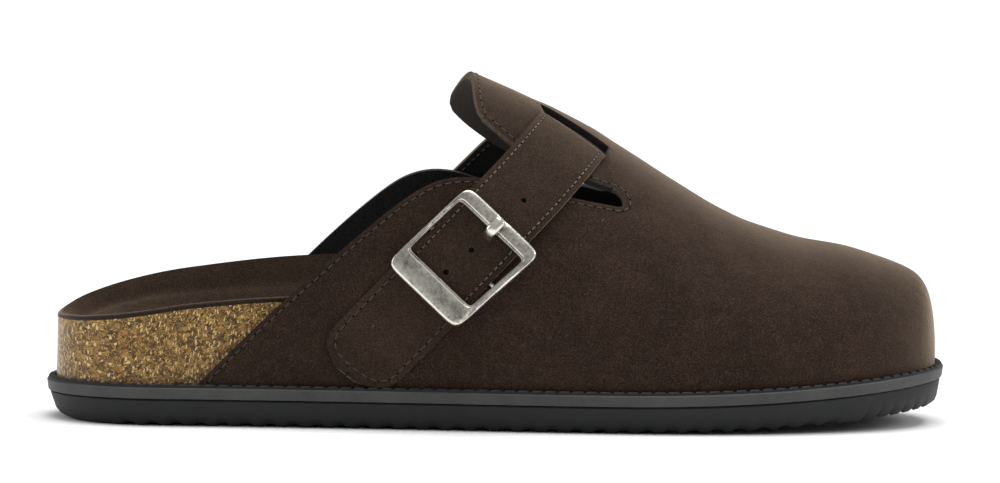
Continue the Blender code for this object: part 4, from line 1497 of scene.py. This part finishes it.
def buckle_frame():
    bm = bmesh.new()
    window = BUCKLE_WINDOW / 2
    half = BUCKLE_WINDOW_WIDTH / 2 - FRAME_NARROWER

    def corner(column, row):
        turn = 2 * math.pi * (column % FRAME_SIDES + 0.5) / FRAME_SIDES
        outer = barrel(turn, -window - UPPER_BAR, window + WIDE_BAR, half + RAIL, FRAME_FULLNESS)
        inner = barrel(turn, -window, window - WIDE_BAR_MORE, half, WINDOW_FULLNESS)
        if inner.y < 0:
            inner.y *= BUCKLE_WINDOW_WIDTH / 2 / half
        edge, distance, rise, _ = FRAME_SECTION[row % len(FRAME_SECTION)]
        share = min(distance / (outer - inner).length, 0.5)
        place = outer.lerp(inner, share if edge == OUTER else 1 - share)
        if rise > SEAT_FROM and place.x < -window + GAP and abs(place.y) < PRONG_WIDTH:
            rise -= PRONG_SEAT * ease((PRONG_WIDTH * SEAT_EDGE - abs(place.y)) / (PRONG_WIDTH * SEAT_FADE))
        place.z = FRAME_LIFT + FRAME_THICKNESS * rise - place.x**2 / (2 * FRAME_BOW)
        place.y *= 1 - FRAME_TAPER * (place.x + window + UPPER_BAR) / (BUCKLE_WINDOW + UPPER_BAR + WIDE_BAR)
        place.y -= FRAME_SKEW * place.x
        return place + FRAME_SHIFT

    # Rubbed rows take the lighter nickel: worn plate, lightened further as painted highlight
    def finish(column, row):
        return FRAME_SECTION[row].rubbed

    sheet(bm, FRAME_SIDES, len(FRAME_SECTION), corner, finish=finish)
    for hand in (-1, 1):
        inside = half if hand > 0 else BUCKLE_WINDOW_WIDTH / 2
        size = Vector((LUG_LENGTH, half + RAIL - inside - 2 * GAP, FRAME_LIFT))
        middle = Vector((PIVOT_PLACE, hand * (half + RAIL + inside) / 2, FRAME_LIFT / 2 + PIVOT_LIFT / 2))
        middle.y = middle.y * (1 - FRAME_TAPER / 2) - FRAME_SKEW * PIVOT_PLACE + FRAME_SHIFT.y
        matrix = Matrix.Translation(middle) @ Matrix.Diagonal(size).to_4x4()
        lug = bmesh.ops.create_cube(bm, size=1, matrix=matrix)
        edges = list({edge for vert in lug["verts"] for edge in vert.link_edges})
        chamfer(bm, edges, GAP)
    weld(bm)
    bmesh.ops.transform(bm, matrix=buckle_place(), verts=bm.verts)
    dull = shared(antique_nickel, "antiqued nickel plate", colours().patina, colours().nickel, roughness=0.32)
    add_piece("cast_buckle_frame", bm, [dull, rubbed_nickel_with_highlight()], "buckle_frame")


def buckle_prong():
    bm = bmesh.new()
    rows = [Vector((row.down, 0, row.out)) for row in PRONG]

    def corner(column, row):
        place = column / PRONG_COLUMNS * (len(rows) - 1)
        before = at(rows, max(place - PRONG_BEND, 0))
        after = at(rows, min(place + PRONG_BEND, len(rows) - 1))
        middle = (before + 2 * at(rows, place) + after) / 4
        run = (after - before).normalized()
        rise = Vector((0, 1, 0)).cross(run)
        left = min(column, PRONG_COLUMNS - column) / PRONG_COLUMNS
        scale = math.sqrt(max(1 - (1 - min(left / PRONG_TIP, 1)) ** 2, 0))
        turn = 2 * math.pi * (row % PRONG_SIDES + 0.5) / PRONG_SIDES
        shape = barrel(turn, -PRONG_THICKNESS / 2, PRONG_THICKNESS / 2, PRONG_WIDTH / 2, PRONG_FULLNESS)
        shape *= PRONG_PLUMPER * scale
        return middle + PRONG_SHIFT + rise * shape.x + Vector((0, shape.y, 0))

    sheet(bm, PRONG_COLUMNS, PRONG_SIDES, corner)
    weld(bm)
    turn = Matrix.Translation((PIVOT_PLACE, 0, PIVOT_LIFT)) @ Matrix.Rotation(math.pi / 2, 4, "X")
    add_pin(bm, PIVOT_RADIUS, BUCKLE_WINDOW_WIDTH - 2 * GAP, turn)
    bmesh.ops.transform(bm, matrix=buckle_place(), verts=bm.verts)
    add_piece("bent_buckle_prong", bm, [rubbed_nickel_with_highlight()], "buckle_prong")


# Stitching


def collar_line():
    """Points along the whole cut edge: outer collar, round the slit, tongue, slit and inner collar."""
    columns = range(EDGE_STEPS + 1)
    places = [mix(COLLAR_START, SLIT_END, 1 - (1 - k / EDGE_STEPS) ** 2) for k in columns]
    outer = [upper_point(place, slit_edge(COLLAR, -1, place)) for place in places]
    inner = [upper_point(place, slit_edge(COLLAR, 1, place)) for place in places]
    last = len(tongue_stations()) - 1
    down = [tongue_point(last * (1 - (k / EDGE_STEPS) ** 2), 0) for k in columns]
    rear = [tongue_point(0, TONGUE_ROWS * k / EDGE_STEPS) for k in columns]
    up = [tongue_point(last * (1 - (1 - k / EDGE_STEPS) ** 2), TONGUE_ROWS) for k in columns]
    return outer + down[1:] + rear[1:] + up[1:] + inner[::-1][1:]


def inset_line(edge, inset):
    """Points that far in from a cut edge, without those that a tight bend brings too near to it."""
    points = []
    tree = kdtree.KDTree(len(edge))
    for k, point in enumerate(edge):
        run = (edge[min(k + 1, len(edge) - 1)] - edge[max(k - 1, 0)]).normalized()
        points.append(on_upper(point - outward(point).normalized().cross(run) * inset))
        tree.insert(point, k)
    tree.balance()
    return [point for point in points if tree.find(point)[2] > inset * SEAM_CLEAR]


def add_bead(bm, rings, matrix):
    """Adds a ball that a matrix shapes and places."""
    bmesh.ops.create_uvsphere(bm, u_segments=BEAD_SIDES, v_segments=rings, radius=1, matrix=matrix)


def sew(bm, row, pitch, side=1):
    """Sews raised stitches along a row of points, with a dark bead of painted shade for each needle hole
    between them; side -1 is underneath.
    """
    radius = sizes().thread_radius
    thread_shape = (pitch * STITCH_SHARE / 2, radius, radius * STITCH_FLATNESS)
    hole_shade_shape = [radius * share for share in NEEDLE_SHADE_SHAPE]
    long_way = Matrix.Rotation(math.pi / 2, 4, "Y")
    normals = [outward(point).normalized() * side for point in row]
    mesh = bpy.data.meshes.new("stitch")
    for stop in walk(row, normals, pitch):
        stitch = bmesh.new()
        add_bead(stitch, STITCH_RINGS, stop_matrix(stop, thread_shape, radius * STITCH_RISE) @ long_way)
        thread = set(stitch.faces)
        # Each needle hole is a dark bead on the surface: painted shade for its pit
        hole = stop._replace(point=stop.point + stop.run * (pitch / 2))
        add_bead(stitch, NEEDLE_SHADE_RINGS, stop_matrix(hole, hole_shade_shape))
        for face in stitch.faces:
            face.material_index = 0 if face in thread else 1
        stitch.to_mesh(mesh)
        stitch.free()
        bm.from_mesh(mesh)
    bpy.data.meshes.remove(mesh)


def upper_stitching():
    bm = bmesh.new()
    sew(bm, inset_line(collar_line(), sizes().stitch_inset), sizes().stitch_pitch)
    finishes = seam_finish("dark polyester thread", colours().dark_thread)
    add_piece("upper_stitching", bm, finishes)


def strap_stitching():
    pitch = sizes().strap_stitch_pitch
    half = STRAP_WIDTH / 2 - sizes().strap_stitch_inset
    crown = BAND_CROWN * (2 * half / STRAP_WIDTH) ** 4

    def under(angle, place):
        return strap_lift(angle, place) - crown

    def top(angle, place):
        return under(angle, place) + STRAP_THICKNESS

    def end_top(angle, place):
        return strap_lift(angle, place) + STRAP_THICKNESS

    bm = bmesh.new()
    angles = strap_angles()
    sewn = [angle for angle in angles if angle > UNDER_SEAM_START]
    for offset in (-half, half):
        sew(bm, [band_point(angle, offset, top) for angle in angles], pitch)
        sew(bm, [band_point(angle, offset, under) for angle in sewn], pitch, side=-1)
    end = STRAP_INNER_END - END_SEAM
    sew(bm, [band_point(end, half * share, end_top) for share in even_shares(BAND_ROWS)], pitch)
    finishes = seam_finish("tan polyester thread", colours().thread)
    add_piece("strap_stitching", bm, finishes)


def tab_stitching():
    inset = sizes().tab_stitch_inset
    shares = [share * (1 - inset / TAB_LENGTH) for share in tab_shares()]

    def top(angle, place):
        return GAP - BAND_CROWN * TAB_SEAM_CROWN + TAB_THICKNESS

    row = []
    for hand, places in ((-1, shares), (1, shares[::-1])):
        for share in places:
            offset = hand * tab_half_width(share, inset)
            row.append(band_point(tab_angle(share, offset / (TAB_WIDTH / 2)), offset, top))
    bm = bmesh.new()
    sew(bm, row, sizes().tab_stitch_pitch)
    finishes = seam_finish("dark polyester thread", colours().dark_thread)
    add_piece("tab_stitching", bm, finishes)


# Stage


def paper_floor(size):
    """Square sheet of paper that the shoe stands on."""
    bm = bmesh.new()
    bmesh.ops.create_grid(bm, x_segments=FLOOR_STEPS, y_segments=FLOOR_STEPS, size=size / 2)
    floor = add_object("paper_floor", bm)
    floor.data.materials.append(shared(studio_floor))


def add_light(name, kind, place, power):
    """Light at a place that shines at the shoe."""
    light = bpy.data.lights.new(name, kind)
    light.energy = power
    lamp = bpy.data.objects.new(name, light)
    turn = (Vector(AIM) - Vector(place)).to_track_quat("-Z", "Y").to_matrix().to_4x4()
    lamp.matrix_world = Matrix.Translation(place) @ turn
    bpy.context.scene.collection.objects.link(lamp)
    return light


def studio_air(strength):
    """Even white light from all round."""
    world = bpy.data.worlds.new("studio_air")
    world.use_nodes = True
    air = world.node_tree.nodes["Background"]
    air.inputs["Color"].default_value = hex_colour("#ffffff")
    air.inputs["Strength"].default_value = strength
    bpy.context.scene.world = world


def photo_camera():
    """Camera that sees the shoe as the photo does."""
    camera = bpy.data.cameras.new("camera")
    camera.sensor_width = SENSOR
    camera.lens = SENSOR * PIXELS_PER_METRE * DISTANCE / IMAGE_WIDTH
    camera.clip_end = CLIP_END
    azimuth, elevation, roll = (math.radians(angle) for angle in (AZIMUTH, ELEVATION, ROLL))
    level = Vector((-math.sin(azimuth), math.cos(azimuth), 0)) * math.cos(elevation)
    ahead = level - Vector((0, 0, math.sin(elevation)))
    right = ahead.cross(Vector((0, 0, 1))).normalized()
    up = right.cross(ahead)
    across = right * math.cos(roll) + up * math.sin(roll)
    tilted = up * math.cos(roll) - right * math.sin(roll)
    turn = Matrix((across, tilted, -ahead)).transposed().to_4x4()
    eye = bpy.data.objects.new("camera", camera)
    eye.matrix_world = Matrix.Translation(Vector(AIM) - ahead * DISTANCE) @ turn
    bpy.context.scene.collection.objects.link(eye)
    bpy.context.scene.camera = eye


def stage():
    settings = bpy.context.scene.clog_stage
    paper_floor(settings.floor_size)
    silk = add_light("overhead_silk", "SUN", TOP_PLACE, settings.top_power)
    silk.angle = math.radians(SILK_ANGLE)
    for name, place, power in (
        ("key_softbox", KEY_PLACE, settings.key_power),
        ("rear_softbox", REAR_PLACE, settings.fill_power),
        ("front_softbox", FRONT_PLACE, settings.front_power),
    ):
        softbox = add_light(name, "AREA", place, power)
        softbox.shape = "DISK"
        softbox.size = SOFTBOX_SIZE
    studio_air(settings.air_strength)
    bpy.context.scene.view_settings.view_transform = "Standard"
    photo_camera()


# Add-on


def length(name, description, default):
    return bpy.props.FloatProperty(
        name=name, description=description, default=default, unit="LENGTH", precision=5
    )


def shade(name, description, default):
    return bpy.props.StringProperty(name=name, description=description, default=default)


def power(name, description, default):
    return bpy.props.FloatProperty(name=name, description=description, default=default)


class ClogSizes(bpy.types.PropertyGroup):
    stitch_pitch: length("Upper stitch", "Distance between stitches round the upper's cut edge", 0.0030)
    stitch_inset: length("Upper seam inset", "Distance of the seam from the upper's cut edge", 0.0016)
    strap_stitch_pitch: length("Strap stitch", "Distance between stitches along the strap", 0.0022)
    strap_stitch_inset: length("Strap seam inset", "Distance of the seams from the strap's edges", 0.00175)
    tab_stitch_pitch: length("Tab stitch", "Distance between stitches round the tab", 0.0032)
    tab_stitch_inset: length("Tab seam inset", "Distance of the seam from the tab's edge", 0.0020)
    thread_radius: length("Thread radius", "Half the thickness of the sewing thread", 0.00022)
    welt_pitch: length("Welt block pitch", "Distance between the blocks of the welt strip", 0.0042)
    welt_height: length("Welt block height", "Height of the blocks of the welt strip", 0.0011)


class ClogColours(bpy.types.PropertyGroup):
    suede: shade("Suede", "Even colour of the upper's nap", "#2b1f18")
    suede_dark: shade("Lying nap", "Suede where the nap lies flat", "#1a130e")
    suede_light: shade("Brushed nap", "Suede where the nap is stroked up", "#45352b")
    sheen: shade("Nap sheen", "Light that the nap scatters at its edges", "#cfb9a2")
    strap: shade("Strap", "Even colour of the strap's nap", "#2f241c")
    footbed: shade("Footbed cover", "Even colour of the footbed's suede", "#34281f")
    lining: shade("Lining", "Felt inside the upper", "#2e2c2c")
    tongue_lining: shade("Tongue lining", "Sueded inside of the tongue", "#4d4743")
    cut_edge: shade("Cut edge", "Raw edge of the leather", "#6b5c4f")
    dark_thread: shade("Dark thread", "Lit side of the upper's and the tab's thread", "#33281f")
    thread: shade("Thread", "Lit side of the strap's thread", "#75665a")
    outsole: shade("Outsole", "Lit rubber of the outsole", "#1b1c1d")
    outsole_dark: shade("Outsole shade", "Dark rubber of the outsole", "#101112")
    welt: shade("Welt", "Lit foam of the welt band", "#454544")
    welt_dark: shade("Welt shade", "Dark foam of the welt band", "#2f2f2f")
    nickel: shade("Nickel", "Rubbed plate of the buckle", "#d4d0c5")
    patina: shade("Patina", "Oxide in the pits of the buckle", "#75726a")
    rubbed_edge_highlight: shade("Bright edge", "Rubbed edges of the buckle, lightened as painted highlight", "#e6e3da")


class ClogStage(bpy.types.PropertyGroup):
    floor_size: length("Floor", "Side of the square floor", 40.0)
    key_power: power("Key light", "Watts of the soft light at the toe", 5.5)
    front_power: power("Front light", "Watts of the soft light at the front", 0.85)
    top_power: power("Top light", "Watts to a square metre of the silk above", 2.7)
    fill_power: power("Fill light", "Watts of the soft light behind", 3.0)
    air_strength: power("Studio air", "Even light from all round", 0.40)


class CLOG_OT_sole(bpy.types.Operator):
    """Make the outsole, the welt band and the strip of blocks on its ledge"""
    bl_idname = "clog.sole"
    bl_label = "Sole"

    def execute(self, context):
        outsole()
        welt_band()
        welt_strip()
        return {"FINISHED"}


class CLOG_OT_footbed(bpy.types.Operator):
    """Make the cork footbed and its suede cover"""
    bl_idname = "clog.footbed"
    bl_label = "Footbed"

    def execute(self, context):
        cork_footbed()
        footbed_cover()
        return {"FINISHED"}


class CLOG_OT_upper(bpy.types.Operator):
    """Make the hollow suede upper with its lining and cut edges"""
    bl_idname = "clog.upper"
    bl_label = "Upper"

    def execute(self, context):
        upper()
        return {"FINISHED"}


class CLOG_OT_strap(bpy.types.Operator):
    """Make the instep strap and the tab that holds the buckle"""
    bl_idname = "clog.strap"
    bl_label = "Strap and tab"

    def execute(self, context):
        strap()
        buckle_tab()
        return {"FINISHED"}


class CLOG_OT_buckle(bpy.types.Operator):
    """Make the buckle's frame and prong"""
    bl_idname = "clog.buckle"
    bl_label = "Buckle"

    def execute(self, context):
        buckle_frame()
        buckle_prong()
        return {"FINISHED"}


class CLOG_OT_stitching(bpy.types.Operator):
    """Sew the rows of stitches on upper, strap and tab"""
    bl_idname = "clog.stitching"
    bl_label = "Stitching"

    def execute(self, context):
        upper_stitching()
        strap_stitching()
        tab_stitching()
        return {"FINISHED"}


class CLOG_OT_stage(bpy.types.Operator):
    """Set up the floor, the lights and the camera"""
    bl_idname = "clog.stage"
    bl_label = "Stage"

    def execute(self, context):
        stage()
        return {"FINISHED"}


PIECES = (CLOG_OT_sole, CLOG_OT_footbed, CLOG_OT_upper, CLOG_OT_strap, CLOG_OT_buckle, CLOG_OT_stitching)
GROUPS = {"clog_sizes": ClogSizes, "clog_colours": ClogColours, "clog_stage": ClogStage}


class CLOG_PT_panel(bpy.types.Panel):
    bl_idname = "CLOG_PT_panel"
    bl_label = "Clog"
    bl_space_type = "VIEW_3D"
    bl_region_type = "UI"
    bl_category = "Clog"

    def draw(self, context):
        for kind in PIECES + (CLOG_OT_stage,):
            self.layout.operator(kind.bl_idname)
        for group, kind in GROUPS.items():
            for name in kind.__annotations__:
                self.layout.prop(getattr(context.scene, group), name)


CLASSES = tuple(GROUPS.values()) + PIECES + (CLOG_OT_stage, CLOG_PT_panel)


def register():
    for kind in CLASSES:
        bpy.utils.register_class(kind)
    for group, kind in GROUPS.items():
        setattr(bpy.types.Scene, group, bpy.props.PointerProperty(type=kind))


def unregister():
    for group in GROUPS:
        delattr(bpy.types.Scene, group)
    for kind in reversed(CLASSES):
        bpy.utils.unregister_class(kind)


def main():
    register()
    bpy.ops.clog.sole()
    bpy.ops.clog.footbed()
    bpy.ops.clog.upper()
    bpy.ops.clog.strap()
    bpy.ops.clog.buckle()
    bpy.ops.clog.stitching()
    bpy.ops.clog.stage()


if __name__ == "__main__":
    main()
